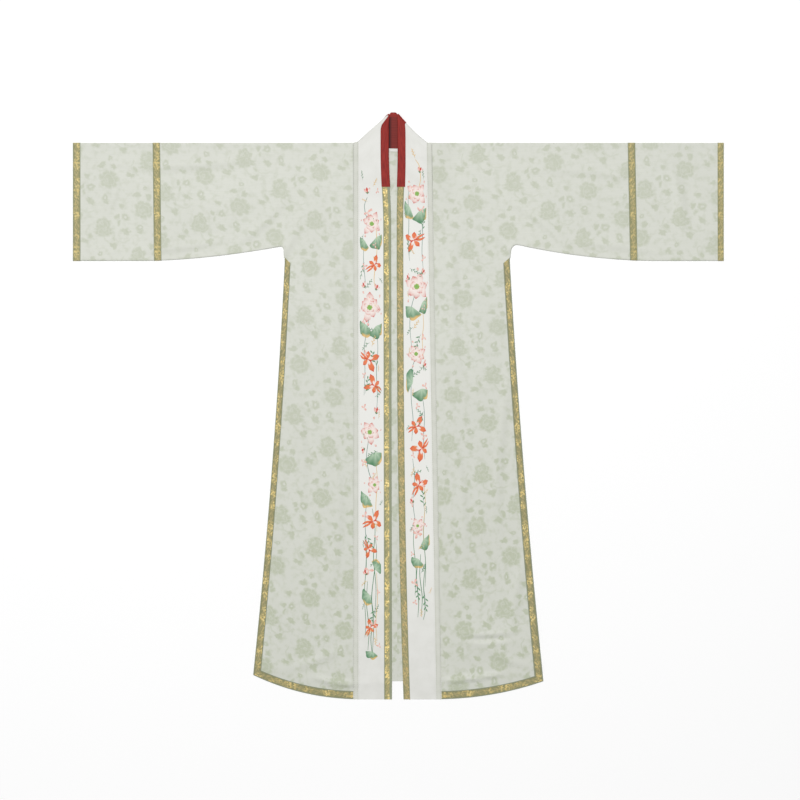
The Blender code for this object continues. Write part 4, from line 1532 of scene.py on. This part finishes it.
    def make_band(self) -> Piece:
        """Build the band, from the left hem round the neck to the right hem."""
        low_left, low_right, neck = self.lower(LEFT), self.lower(RIGHT), self.neck()
        rows = low_left.joined(neck, low_right.reversed())
        fractions = even_shares(self.band_columns)
        places = rows.places(fractions, self.crown * np.sin(math.pi * fractions))
        cloth = ClothMesh("robe_collar_band")
        cloth.grid(places, ribbon_uvs(places))
        item = cloth.finish(self.band_wall, self.white)
        for side_rows in (low_left, low_right):
            line = side_rows.places([self.seam_share], [self.band_wall / 2 + HAIR])
            self.white_stitches.append(line[:, 0])
        length = 2 * self.plan.length + self.round_neck
        return Piece(item, "white_band", "collar_band", (self.band_width, length),
                     self.band_width * length)

    def make_guard(self) -> Piece:
        """Build the guard, narrow outside and deep inside."""
        rows = self.neck()
        lining = np.linspace(self.lining_share, self.guard_share / 2, self.lining_columns + 1)
        inner = rows.places(lining, np.full_like(lining, -self.offset))
        below = (self.plan.top_y - self.fold_drop - rows.free[:, 1]) / self.guard_taper
        kept = np.maximum(np.clip(below, 0.0, 1.0), smoothstep(-rows.normal[:, 2]))
        kept = np.where(rows.free[:, 0] < self.plan.centre_x, mix(0.10, 1.0, kept), 1.0)
        steps = np.linspace(0.15, 1.0, self.guard_columns + 1)
        crown = self.guard_crown * np.sin(math.pi * np.minimum(steps, 0.96))
        rise = self.offset + crown * (rows.normal[:, 2:] > 0.9)
        outer = rows.places(self.guard_share * kept[:, None] * steps, rise)
        edge = rows.free - rows.sewn
        edge = edge / np.maximum(np.abs(edge[:, :1]), np.abs(edge[:, 1:2]))
        arc = []
        for angle in math.pi * even_shares(self.edge_steps):
            place = rows.free + edge * self.offset * math.sin(angle)
            arc.append(place - rows.normal * self.offset * math.cos(angle))
        places = np.concatenate([inner, np.stack(arc, axis=1), outer], axis=1)
        cloth = ClothMesh("robe_collar_guard")
        cloth.grid(places, ribbon_uvs(places))
        item = cloth.finish(self.guard_wall, self.red, even=False)
        lift = rows.normal * (self.guard_wall / 2 + HAIR)
        self.red_stitches.append(mix(outer[:, -1], outer[:, -2], self.guard_seam) + lift)
        length = 2 * self.plan.guard_depth + self.guard_behind
        return Piece(item, "red_guard", "collar_guard", (self.guard_width, length),
                     self.guard_width * length)

    def make_front_trim(self, side: Side) -> Piece:
        """Build the strip on the free edge of a front band."""
        rows = self.lower(side)
        width = np.abs(rows.sewn[:, 0] - rows.free[:, 0])
        across = even_shares(self.trim_columns)
        height = self.band_wall / 2 + self.crown + HALF_HAIR + self.trim_wall / 2
        fractions = across[None, :] * (side.front_trim / width)[:, None]
        places = rows.places(fractions, np.full(len(across), height))
        places[-1, :, 1] -= self.plan.seam
        cloth = ClothMesh("robe_front_trim_" + side.name)
        cloth.grid(places, ribbon_uvs(places, side.sign * self.trim_start))
        item = cloth.finish(self.trim_wall, self.golds[side.name])
        self.stitches += edge_seams(places, self.trim_seam, self.trim_wall)
        length = self.plan.length - self.plan.guard_depth
        return Piece(item, "gold_brocade", "front_trim_" + side.name, (side.front_trim, length),
                     side.front_trim * length)


# Sewing

@dataclass
class StitchRun:
    """Rows of small stitches along given lines, placed by a Geometry Nodes group."""

    name: str
    thread: Material
    pitch: float = 0.0042
    length: float = 0.0026
    thickness: float = 0.0006

    def lines(self, lines: Iterable[Array]) -> Object:
        """Make an object of plain edges along the lines."""
        mesh = bpy.data.meshes.new(self.name)
        places: list[Place] = []
        edges: list[tuple[int, int]] = []
        for line in lines:
            start = len(places)
            places.extend(map(tuple, line.tolist()))
            edges.extend((index, index + 1) for index in range(start, len(places) - 1))
        mesh.from_pydata(places, edges, [])
        return put_in_scene(self.name, mesh)

    def group(self) -> bpy.types.NodeTree:
        """Build the node group that sets a stitch at every pitch of the lines."""
        tree = bpy.data.node_groups.new(self.name, "GeometryNodeTree")
        face = tree.interface
        face.new_socket("Lines", in_out="INPUT", socket_type="NodeSocketGeometry")
        for label in ("Pitch", "Length", "Thickness"):
            face.new_socket(label, in_out="INPUT", socket_type="NodeSocketFloat")
        face.new_socket("Thread", in_out="INPUT", socket_type="NodeSocketMaterial")
        face.new_socket("Stitches", in_out="OUTPUT", socket_type="NodeSocketGeometry")
        kinds = {
            "given": "NodeGroupInput", "curve": "GeometryNodeMeshToCurve",
            "spaced": "GeometryNodeResampleCurve", "tangent": "GeometryNodeInputTangent",
            "turn": "FunctionNodeAlignRotationToVector", "bead": "GeometryNodeMeshUVSphere",
            "size": "ShaderNodeCombineXYZ", "place": "GeometryNodeInstanceOnPoints",
            "real": "GeometryNodeRealizeInstances", "dress": "GeometryNodeSetMaterial",
            "result": "NodeGroupOutput",
        }
        nodes = {key: tree.nodes.new(kind) for key, kind in kinds.items()}
        nodes["spaced"].mode = "LENGTH"
        nodes["turn"].axis = "X"
        nodes["bead"].inputs["Segments"].default_value = 5
        nodes["bead"].inputs["Rings"].default_value = 3
        nodes["bead"].inputs["Radius"].default_value = 0.5
        joins = (
            ("given", "Lines", "curve", 0), ("curve", 0, "spaced", "Curve"),
            ("given", "Pitch", "spaced", "Length"), ("tangent", 0, "turn", "Vector"),
            ("spaced", 0, "place", "Points"), ("bead", 0, "place", "Instance"),
            ("turn", 0, "place", "Rotation"), ("given", "Length", "size", 0),
            ("given", "Thickness", "size", 1), ("given", "Thickness", "size", 2),
            ("size", 0, "place", "Scale"), ("place", 0, "real", 0), ("real", 0, "dress", 0),
            ("given", "Thread", "dress", "Material"), ("dress", 0, "result", 0),
        )
        for source, output, target, socket in joins:
            tree.links.new(nodes[source].outputs[output], nodes[target].inputs[socket])
        return tree

    def make(self, lines: Iterable[Array]) -> Object:
        """Build the stitches along the lines as one plain mesh."""
        item = self.lines(lines)
        tree = self.group()
        modifier = item.modifiers.new("stitches", "NODES")
        modifier.node_group = tree
        given = {"Pitch": self.pitch, "Length": self.length, "Thickness": self.thickness,
                 "Thread": self.thread}
        for socket in tree.interface.items_tree:
            if socket.in_out == "INPUT" and socket.name in given:
                modifier[socket.identifier] = given[socket.name]
        item.update_tag()
        bake_modifiers(item)
        item.data.shade_smooth()
        return item


# Embroidery on the band

class Bloom(Enum):
    """Kinds of embroidered figure."""

    BLOSSOM = "blossom"
    BUD = "bud"
    FAN_LEAF = "fan leaf"
    SPRAY = "spray"
    BUTTERFLY = "butterfly"
    GOLD_SPRIG = "gold sprig"
    PETALS = "fallen petals"


@dataclass(frozen=True)
class Figure:
    """One embroidered figure: place across and down the band, size in millimetres, and turn."""

    kind: Bloom
    across: float
    down: float
    size: float
    turn: float = 0.0


@dataclass(frozen=True)
class Vine:
    """Thin stem through a few places across and down the band, in millimetres."""

    path: tuple[Spot, ...]
    gold: bool = False


CREAM = linear_colour(245, 234, 227)
PINK = linear_colour(240, 196, 184)
CORAL = linear_colour(206, 76, 64)
ORANGE = linear_colour(232, 118, 62)
RED_ORANGE = linear_colour(208, 70, 46)
DEEP_GREEN = linear_colour(74, 132, 90)
GREEN = linear_colour(84, 142, 96)
PALE_GREEN = linear_colour(184, 208, 180)
BRIGHT_GREEN = linear_colour(128, 180, 84)
BLUE_GREEN = linear_colour(112, 146, 134)
GOLD = linear_colour(230, 190, 118)

# kind, across, down, size and turn
LEFT_FIGURES = tuple(Figure(Bloom(kind), *rest) for kind, *rest in (
    ("bud", -6, 112, 12, 100),
    ("gold sprig", 6, 96, 15, 60),
    ("blossom", 2, 178, 20, 15),
    ("fan leaf", 14, 206, 24, -60),
    ("fan leaf", -15, 214, 20, -130),
    ("spray", -16, 262, 30, 250),
    ("butterfly", 8, 268, 17, 35),
    ("bud", -13, 318, 12, 130),
    ("bud", 11, 324, 12, 60),
    ("blossom", -3, 362, 24, 40),
    ("fan leaf", -12, 398, 25, 235),
    ("fan leaf", 12, 402, 24, 300),
    ("gold sprig", 2, 448, 18, 80),
    ("butterfly", -7, 476, 22, -25),
    ("spray", 15, 496, 30, 110),
    ("butterfly", 8, 534, 20, 150),
    ("spray", -15, 552, 28, 70),
    ("bud", 12, 596, 13, 75),
    ("blossom", -3, 636, 21, 70),
    ("bud", -15, 672, 12, 200),
    ("fan leaf", 9, 680, 26, 285),
    ("gold sprig", -10, 716, 16, 110),
    ("blossom", 8, 752, 16, 20),
    ("fan leaf", -8, 776, 23, 225),
    ("butterfly", 4, 832, 21, 20),
    ("spray", -14, 856, 28, 290),
    ("butterfly", -6, 892, 16, -60),
    ("fan leaf", 8, 938, 19, 40),
    ("bud", -10, 950, 12, 120),
    ("fan leaf", -3, 994, 20, 210),
    ("spray", 10, 1022, 30, 255),
    ("butterfly", -2, 1066, 15, 60),
    ("gold sprig", 8, 1084, 15, 280),
    ("fan leaf", 3, 1118, 15, 250),
))

RIGHT_FIGURES = tuple(Figure(Bloom(kind), *rest) for kind, *rest in (
    ("gold sprig", -2, 34, 16, 110),
    ("bud", 8, 66, 11, 70),
    ("blossom", 3, 112, 21, 50),
    ("fan leaf", -14, 140, 24, 220),
    ("fan leaf", 10, 148, 24, 300),
    ("butterfly", -4, 214, 22, 200),
    ("spray", 15, 196, 28, 80),
    ("spray", -16, 248, 26, 95),
    ("bud", 13, 288, 12, 40),
    ("blossom", 1, 316, 25, 10),
    ("bud", -16, 300, 12, 140),
    ("fan leaf", -10, 360, 25, 250),
    ("fan leaf", 14, 350, 22, 320),
    ("gold sprig", -8, 410, 17, 60),
    ("spray", 10, 420, 26, 240),
    ("blossom", -2, 464, 18, 30),
    ("bud", 14, 492, 12, 30),
    ("fan leaf", -10, 528, 27, 160),
    ("fan leaf", 10, 540, 23, 280),
    ("spray", 14, 590, 28, 250),
    ("butterfly", -4, 624, 20, 20),
    ("butterfly", 8, 672, 22, -140),
    ("gold sprig", -8, 712, 17, 250),
    ("butterfly", 0, 752, 20, 60),
    ("bud", -12, 790, 12, 150),
    ("spray", 12, 806, 30, 100),
    ("blossom", -4, 842, 14, 60),
    ("fan leaf", 8, 872, 20, 320),
    ("fan leaf", -4, 914, 18, 240),
    ("spray", -6, 962, 30, 265),
    ("spray", 8, 986, 32, 280),
    ("gold sprig", 2, 1022, 14, 260),
))

LEFT_VINES = (
    Vine(((-6, 118), (-16, 138), (-12, 160), (2, 178))),
    Vine(((18, 168), (12, 190), (16, 230), (6, 300), (10, 322)), True),
    Vine(((-15, 214), (-20, 250), (-14, 300), (-13, 322))),
    Vine(((-3, 372), (-8, 410), (-18, 450), (-14, 500), (-18, 560))),
    Vine(((12, 402), (18, 450), (12, 500), (16, 560), (12, 600))),
    Vine(((-3, 640), (-12, 690), (-4, 730), (8, 752))),
    Vine(((9, 690), (16, 740), (10, 800), (14, 860)), True),
    Vine(((-8, 776), (-16, 830), (-10, 890), (-14, 950))),
    Vine(((8, 860), (14, 900), (6, 950), (0, 1000), (6, 1060), (2, 1130))),
    Vine(((-8, 960), (-12, 1010), (-4, 1070), (-8, 1120))),
    Vine(((12, 940), (16, 1000), (10, 1050), (14, 1100)), True),
    Vine(((-16, 860), (-10, 920), (-18, 990), (-12, 1060), (-16, 1090))),
    Vine(((2, 800), (10, 850), (4, 910), (12, 980), (8, 1040))),
    Vine(((-2, 990), (6, 1040), (-2, 1090), (4, 1140))),
)

RIGHT_VINES = (
    Vine(((-2, 36), (8, 50), (12, 80), (3, 112)), True),
    Vine(((-14, 92), (-20, 120), (-16, 170), (-20, 230), (-15, 262))),
    Vine(((10, 150), (18, 190), (14, 240), (18, 280))),
    Vine(((1, 322), (-12, 360), (-18, 400), (-12, 450))),
    Vine(((14, 356), (18, 400), (12, 430), (16, 480)), True),
    Vine(((-2, 470), (-14, 500), (-16, 560), (-10, 610), (-16, 660))),
    Vine(((10, 546), (18, 600), (12, 650), (16, 700))),
    Vine(((-14, 690), (-8, 740), (-16, 790), (-6, 850))),
    Vine(((12, 740), (16, 790), (8, 850), (12, 900)), True),
    Vine(((8, 872), (14, 920), (6, 970), (10, 1030), (4, 1050))),
    Vine(((-4, 914), (-10, 960), (-4, 1010), (-8, 1046))),
    Vine(((2, 900), (-2, 950), (4, 1000), (0, 1040))),
    Vine(((-12, 830), (-16, 880), (-8, 940), (-14, 1000))),
    Vine(((14, 800), (8, 860), (14, 930), (10, 980))),
)


@dataclass
class Embroidery:
    """Silk embroidery of blossoms, fan leaves and butterflies on one front band."""

    collar: Collar
    side: Side
    thread: Material
    lift: float = 0.00012
    dome: float = 0.00035
    reach: float = 0.027
    growth: float = 1.2
    lower_stems: float = 780.0
    fan_spread: float = 72.0
    stem_width: float = 0.0015
    twig_width: float = 0.0008
    sprinkled: int = 44
    sprinkle_from: float = 70.0
    sprinkle_reach: float = 20.0
    wings: tuple[tuple, ...] = (
        (158, 1.15, 0.20, ORANGE, RED_ORANGE, 0.1, 0.7, 0.25),
        (40, 1.15, 0.50, ORANGE, RED_ORANGE, 0.2, 0.55, 0.0),
        (112, 0.70, 0.40, ORANGE, RED_ORANGE, 0.0, 0.6, 0.0),
        (44, 0.56, 0.22, CREAM, ORANGE, 0.8, 0.8, 0.0),
        (14, 0.62, 0.035, RED_ORANGE, RED_ORANGE, 0.5, 0.8, 0.0))

    def __post_init__(self) -> None:
        """Start the mesh of thread."""
        self.cloth = ClothMesh("robe_embroidery_" + self.side.name)

    def middle(self, y: Array) -> Array:
        """Return the middle of the band's bare part, between its trim and its seam."""
        plan, side = self.collar.plan, self.side
        edge = plan.free_edge(side, y) + side.sign * side.front_trim
        return (edge + plan.sewn_edge(side, y)) / 2

    def patch(self, x: Array, y: Array, dome: Array, colour: Array, uv: Array) -> None:
        """Lay a small grid of thread on the band.

        Args:
            x: Places along X, rows by columns.
            y: Places along Y.
            dome: Height of the thread, from 0 to 1.
            colour: Linear colours, rows by columns by 3.
            uv: Lengths along and across the strands.
        """
        collar, plan = self.collar, self.collar.plan
        middle = self.middle(y)
        x = middle + self.reach * np.tanh((x - middle) / self.reach)
        free, sewn = plan.free_edge(self.side, y), plan.sewn_edge(self.side, y)
        share = np.clip((x - free) / (sewn - free), 0.0, 1.0)
        level = collar.level(self.side, y) + collar.band_wall / 2
        level = level + collar.crown * np.sin(math.pi * share)
        places = np.stack([x, y, level + self.lift + self.dome * dome], axis=-1)
        self.cloth.grid(places, uv, colour)

    def petal(self, start: Spot, turn: float, length: float, width: float,
              colours: tuple[Colour, Colour], lift: float = 0.0, fullness: float = 0.8,
              bend: float = 0.0) -> None:
        """Lay a petal or leaf.

        Args:
            start: Its base, in metres.
            turn: Way it points, in degrees from the X axis.
            length: Its length.
            width: Its greatest width.
            colours: Colour at its base and at its tip.
            lift: Extra height, to lie on others.
            fullness: Where its greatest width lies; lower is nearer the tip.
            bend: Sideways bow at its tip, as a share of its length.
        """
        s = np.linspace(0.0, 1.0, 6)[:, None]
        t = np.linspace(-1.0, 1.0, 5)[None, :]
        half = width / 2 * (0.04 + 0.96 * np.sin(math.pi * (0.02 + 0.96 * s) ** (1 / fullness)) ** 0.8)
        along = length * (s - 0.06 * t * t)
        across = half * t + bend * length * s * s
        angle = math.radians(turn)
        x = start[0] + along * math.cos(angle) - across * math.sin(angle)
        y = start[1] + along * math.sin(angle) + across * math.cos(angle)
        dome = (1.0 - t * t) * np.sin(math.pi * np.clip(s, 0.08, 0.95)) + lift
        share = np.clip(1.2 * s ** 6 + 0.06 * t * t * s, 0.0, 1.0)[..., None]
        colour = mix(np.array(colours[0]), np.array(colours[1]), share)
        uv = np.stack(np.broadcast_arrays(along, across), axis=-1)
        self.patch(x, y, dome, colour, uv)

    def blossom(self, centre: Spot, size: float, turn: float) -> None:
        """Lay an open blossom of loose pale petals with coral tips round a green heart."""
        for count, reach, width, tip, lift in ((7, 1.0, 0.62, CORAL, 0.0), (5, 0.72, 0.48, RED_ORANGE, 0.5),
                                               (4, 0.46, 0.36, CORAL, 1.0)):
            for index in range(count):
                angle = turn + 360 * index / count + 22 * lift + 8 * math.sin(2.9 * index + turn)
                stretch = 1.0 - 0.20 * math.sin(2.3 * index + turn)
                self.petal(centre, angle, size * reach * stretch, size * width, (CREAM, tip), lift,
                           0.55, 0.08 * math.sin(1.7 * index))
        for index in range(8):
            self.petal(centre, turn + 45 * index, size * 0.24, size * 0.20, (BRIGHT_GREEN, GOLD), 1.5)
        for index in range(5):
            angle = math.radians(turn + 74 * index)
            reach = 1.16 * size
            start = (centre[0] + reach * math.cos(angle), centre[1] + reach * math.sin(angle))
            self.petal(start, turn + 74 * index + 25, size * 0.26, size * 0.20, (PINK, CORAL), 0.2, 0.6)

    def bud(self, centre: Spot, size: float, turn: float) -> None:
        """Lay a closed bud with its calyx."""
        for spread, colours in ((-30, (CREAM, CORAL)), (30, (PINK, CORAL)), (0, (CORAL, RED_ORANGE))):
            self.petal(centre, turn + spread, size, size * 0.40, colours, 0.4, 0.6)
        for spread in (-38, 38):
            self.petal(centre, turn + spread, size * 0.42, size * 0.18, (GREEN, PALE_GREEN), 0.8)

    def fan_leaf(self, centre: Spot, size: float, turn: float) -> None:
        """Lay a fan-shaped leaf with a gold rim and a wavy edge."""
        s = np.linspace(0.04, 1.0, 8)[:, None]
        t = np.linspace(-1.0, 1.0, 17)[None, :]
        angle = np.radians(turn + self.fan_spread * t)
        wave = 1.0 - 0.12 * np.abs(t) ** 3 - 0.10 * np.exp(-(t / 0.10) ** 2) + 0.05 * np.sin(9 * t + turn)
        x = centre[0] + size * s * wave * np.cos(angle)
        y = centre[1] + size * s * wave * np.sin(angle)
        dome = np.sin(math.pi * s) * (0.6 + 0.4 * np.abs(np.sin(7 * t)))
        share = np.clip(s * 1.1 - 0.1 + 0.12 * np.sin(11 * t), 0.0, 1.0)[..., None]
        colour = mix(np.array(PALE_GREEN), np.array(DEEP_GREEN), share)
        rim = smoothstep((s - 0.80 + 0.05 * np.sin(5 * t)) / 0.08)[..., None]
        colour = mix(colour, np.array(GOLD), rim * smoothstep((t[..., None] + 0.1) / 0.4))
        uv = np.stack(np.broadcast_arrays(size * s, size * s * np.radians(self.fan_spread * t)), axis=-1)
        self.patch(x, y, dome, colour, uv)

    def fallen(self, centre: Spot, size: float, turn: float) -> None:
        """Lay three fallen petals."""
        for spread, tip in ((0, RED_ORANGE), (95, CORAL), (200, ORANGE)):
            self.petal(centre, turn + spread, size * 0.5, size * 0.26, (PINK, tip), 0.3, 0.6)

    def gold_sprig(self, centre: Spot, size: float, turn: float) -> None:
        """Lay a spray in gold."""
        self.spray(centre, size, turn, (GOLD, CREAM), GOLD)

    def spray(self, centre: Spot, size: float, turn: float,
              colours: tuple[Colour, Colour] = (GREEN, PALE_GREEN), stem: Colour = BLUE_GREEN) -> None:
        """Lay a thin stem with pairs of narrow leaflets."""
        angle = math.radians(turn)
        way = np.array([math.cos(angle), math.sin(angle)])
        side = np.array([-way[1], way[0]])
        base = np.array(centre)
        bow = 0.16 * math.sin(turn)
        path = [base + size * (s * way + bow * s * s * side) for s in np.linspace(0.0, 1.0, 9)]
        self.ribbon(np.array(path), self.twig_width, stem)
        for index, s in enumerate((0.22, 0.42, 0.60, 0.76, 0.90, 1.0)):
            place = base + size * (s * way + bow * s * s * side)
            spread = (46 if index % 2 else -46) * (1.0 - 0.6 * (s == 1.0))
            self.petal(tuple(place), turn + spread, size * (0.34 - 0.12 * s), size * 0.085, colours, 0.3)

    def butterfly(self, centre: Spot, size: float, turn: float) -> None:
        """Lay a butterfly with its wings open and long tails."""
        for sign in (-1, 1):
            for spread, length, width, base, tip, lift, fullness, bend in self.wings:
                self.petal(centre, turn + spread * sign, size * length, size * width, (base, tip), lift,
                           fullness, bend * sign)
        self.petal(centre, turn, size * 0.40, size * 0.13, (RED_ORANGE, RED_ORANGE), 1.2)
        self.petal(centre, turn + 180, size * 0.46, size * 0.12, (RED_ORANGE, ORANGE), 1.2)

    def ribbon(self, path: Array, width: float, colour: Colour) -> None:
        """Lay a thin line of stem stitch along a path."""
        steps = np.gradient(path, axis=0)
        steps = steps / np.linalg.norm(steps, axis=1)[:, None]
        beside = np.column_stack([-steps[:, 1], steps[:, 0]])
        t = np.linspace(-1.0, 1.0, 3)
        taper = 0.35 + 0.65 * np.sin(math.pi * np.linspace(0.08, 0.92, len(path)))
        grid = path[:, None] + beside[:, None] * (t[None, :] * width / 2 * taper[:, None])[..., None]
        dome = np.broadcast_to((1.0 - t * t)[None, :] * 0.7, grid.shape[:2])
        colours = np.broadcast_to(np.array(colour), (*grid.shape[:2], 3))
        along = np.cumsum(np.linalg.norm(np.gradient(path, axis=0), axis=1))
        uv = np.stack(np.broadcast_arrays(along[:, None], t[None, :] * width / 2), axis=-1)
        self.patch(grid[..., 0], grid[..., 1], dome, colours, uv)

    def vine(self, vine: Vine) -> None:
        """Lay a smooth stem through the vine's places."""
        path = np.array(vine.path, float) * MILLIMETRE
        given = np.arange(len(path))
        fine = np.linspace(0, len(path) - 1, 14 * (len(path) - 1) + 1)
        smooth = np.column_stack([np.interp(fine, given, path[:, axis]) for axis in (0, 1)])
        weights = np.hanning(17)[1:-1]
        weights = weights / weights.sum()
        reach = len(weights) // 2
        padded = np.pad(smooth, ((reach, reach), (0, 0)), mode="edge")
        eased = np.column_stack([np.convolve(padded[:, axis], weights, "valid") for axis in (0, 1)])
        y = self.collar.plan.shoulder_y - eased[:, 1]
        x = self.middle(y) + eased[:, 0]
        green = DEEP_GREEN if vine.path[0][1] > self.lower_stems else BLUE_GREEN
        self.ribbon(np.column_stack([x, y]), self.stem_width, GOLD if vine.gold else green)

    def sprinkle(self, last: float) -> None:
        """Lay small twigs, wisps and fallen petals between the figures, down to a depth in millimetres."""
        for index in range(self.sprinkled):
            down = mix(self.sprinkle_from, last, (index + 0.5) / self.sprinkled)
            across = self.sprinkle_reach * math.sin(2.4 * index + 1.3 * self.side.sign)
            turn = 90 + 70 * math.sin(3.7 * index) + 180 * (index % 2)
            kind = (Bloom.SPRAY, Bloom.PETALS, Bloom.GOLD_SPRIG, Bloom.PETALS, Bloom.SPRAY)[index % 5]
            self.figure(Figure(kind, across, down, 15 + 4 * math.sin(5.1 * index), turn))

    def figure(self, figure: Figure) -> None:
        """Lay one figure."""
        y = self.collar.plan.shoulder_y - figure.down * MILLIMETRE
        centre = (float(self.middle(y)) + figure.across * MILLIMETRE, y)
        size = self.growth * figure.size * MILLIMETRE
        ways = {Bloom.PETALS: self.fallen, Bloom.BLOSSOM: self.blossom, Bloom.BUD: self.bud,
                Bloom.FAN_LEAF: self.fan_leaf, Bloom.BUTTERFLY: self.butterfly,
                Bloom.GOLD_SPRIG: self.gold_sprig, Bloom.SPRAY: self.spray}
        ways[figure.kind](centre, size, figure.turn)

    def make(self, figures: Iterable[Figure], vines: Iterable[Vine]) -> Piece:
        """Build the embroidery as one mesh."""
        for vine in vines:
            self.vine(vine)
        self.sprinkle(max(figure.down for figure in figures))
        for figure in figures:
            self.figure(figure)
        return Piece(self.cloth.finish(0.0, self.thread), "white_band")


# Studio

@dataclass(frozen=True)
class Studio:
    """White floor, soft light and the camera above the robe."""

    light_power: float = 690.0
    fill: float = 0.32
    camera_height: float = 4.889
    lens: float = 100.0
    lamp_size: float = 2.8
    lamp_place: Place = (-0.8, 2.3, 9.4)
    floor_reach: float = 6.0

    def floor(self) -> None:
        """Lay the floor."""
        net = Wiring("studio_white")
        net.dress(Base_Color=(1.0, 1.0, 1.0), Roughness=0.9)
        mesh = bpy.data.meshes.new("studio_floor")
        signs = ((-1, -1), (1, -1), (1, 1), (-1, 1))
        places = [(x * self.floor_reach, y * self.floor_reach, -HAIR) for x, y in signs]
        mesh.from_pydata(places, [], [(0, 1, 2, 3)])
        mesh.materials.append(net.material)
        put_in_scene("studio_floor", mesh)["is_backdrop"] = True

    def light(self) -> None:
        """Hang a wide lamp a little towards the neck, and light the room evenly."""
        lamp = bpy.data.lights.new("overhead", "AREA")
        lamp.shape = "RECTANGLE"
        lamp.size, lamp.size_y = self.lamp_size, self.lamp_size
        lamp.energy = self.light_power
        holder = put_in_scene("overhead", lamp)
        holder.location = self.lamp_place
        holder.rotation_euler = (-holder.location).to_track_quat("-Z", "Y").to_euler()
        world = bpy.data.worlds.new("room")
        world.use_nodes = True
        world.node_tree.nodes["Background"].inputs["Color"].default_value = (1.0, 1.0, 1.0, 1.0)
        world.node_tree.nodes["Background"].inputs["Strength"].default_value = self.fill
        bpy.context.scene.world = world

    def camera(self) -> None:
        """Place the camera straight above the middle of the photograph."""
        data = bpy.data.cameras.new("camera")
        data.lens = self.lens
        camera = put_in_scene("camera", data)
        middle = PHOTO_WIDTH / 2
        camera.location = ((middle - PHOTO_CENTRE[0]) * PIXEL, (PHOTO_CENTRE[1] - middle) * PIXEL,
                           self.camera_height)
        bpy.context.scene.camera = camera
        bpy.context.scene.view_settings.view_transform = "Standard"

    def set_up(self) -> None:
        """Build the whole studio."""
        self.floor()
        self.light()
        self.camera()


def corners() -> list[list[float]]:
    """Return the lowest and highest corner of what is shown."""
    return [[float(value) for value in corner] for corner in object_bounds()]


def main() -> None:
    """Build and dress the robe."""
    logging.basicConfig(level=logging.INFO, format="%(message)s")
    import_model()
    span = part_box("cuff_trim_right")[1].x
    plan = RobePlan(shoulder_y=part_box("sleeve_end_left")[1].y, hem_y=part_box("body_left")[0].y,
                    half_span=span, top_y=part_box("collar_guard")[1].y)
    silk = JacquardSilk("sage_jacquard", ground=linear_colour(210, 212, 202),
                        figure=linear_colour(183, 189, 167)).make()
    # Copies of the brocade with painted light and shade: the right-hand copies are duller and painted
    # darker, the hem is painted darker, the left front is painted lighter and carries a painted shadow
    # along one edge.
    golds = {LEFT.name: GoldBrocade("gold_brocade_weave", shine=0.65).make(),
             RIGHT.name: GoldBrocade("gold_brocade_shaded", shine=0.45, shade=0.97).make()}
    fronts = {LEFT.name: GoldBrocade("gold_brocade_front", shade=1.04, edge_shadow=1.0).make(),
              RIGHT.name: GoldBrocade("gold_brocade_orange", shine=0.55, shade=0.95,
                                      gold=linear_colour(226, 184, 116)).make()}
    hem_gold = GoldBrocade("gold_brocade_hem", shine=0.90, shade=0.88).make()
    # The white satin carries a painted lighter stretch along its middle, as painted light.
    white = PlainWeave("white_satin", linear_colour(223, 223, 218), linear_colour(216, 216, 210),
                       pitch=0.0009, roughness=0.5, whiter=0.06).make()
    edging = PlainWeave("edging_cloth", linear_colour(211, 212, 203), linear_colour(200, 202, 191)).make()
    red = RedSatin().make()
    strands = StrandedThread("silk_strands").make()
    collar = Collar(plan, white, fronts, red)
    pieces = [collar.make_band(), collar.make_guard()]
    gold_lines, plain_lines = collar.stitches, []
    for side in (LEFT, RIGHT):
        pieces.append(BodyHalf(plan, side, silk).make())
        pieces.append(SleeveEnd(plan, side, silk).make())
        pieces.append(collar.make_front_trim(side))
        half = plan.join_trim / 2
        for name, first, last in (
                ("sleeve_join_trim", side.join - half, side.join + half),
                ("cuff_trim", plan.half_span - side.cuff_trim, plan.half_span)):
            trim = SleeveTrim(plan, side, golds[side.name], name, first, last)
            pieces.append(trim.make())
            gold_lines += trim.stitches
        for front in (True, False):
            slit = SlitTrim(plan, side, hem_gold, front)
            pieces.append(slit.make())
            gold_lines += slit.stitches
        strip = FrontEdging(plan, side, edging)
        pieces.append(strip.make())
        plain_lines += strip.stitches
    for side, figures, vines in ((LEFT, LEFT_FIGURES, LEFT_VINES), (RIGHT, RIGHT_FIGURES, RIGHT_VINES)):
        pieces.append(Embroidery(collar, side, strands).make(figures, vines))
    for name, slot, colour, lines in (
            ("robe_stitches_gold", "gold_brocade", linear_colour(176, 164, 122), gold_lines),
            ("robe_stitches_plain", "plain_edging", linear_colour(170, 174, 157), plain_lines),
            ("robe_stitches_white", "white_band", linear_colour(216, 216, 210), collar.white_stitches),
            ("robe_stitches_red", "red_guard", linear_colour(124, 44, 40), collar.red_stitches)):
        thread = SewingThread(name + "_thread", colour).make()
        pieces.append(Piece(StitchRun(name, thread).make(lines), slot))
    for piece in pieces:
        piece.register()
    Studio().set_up()


if __name__ == "__main__":
    main()
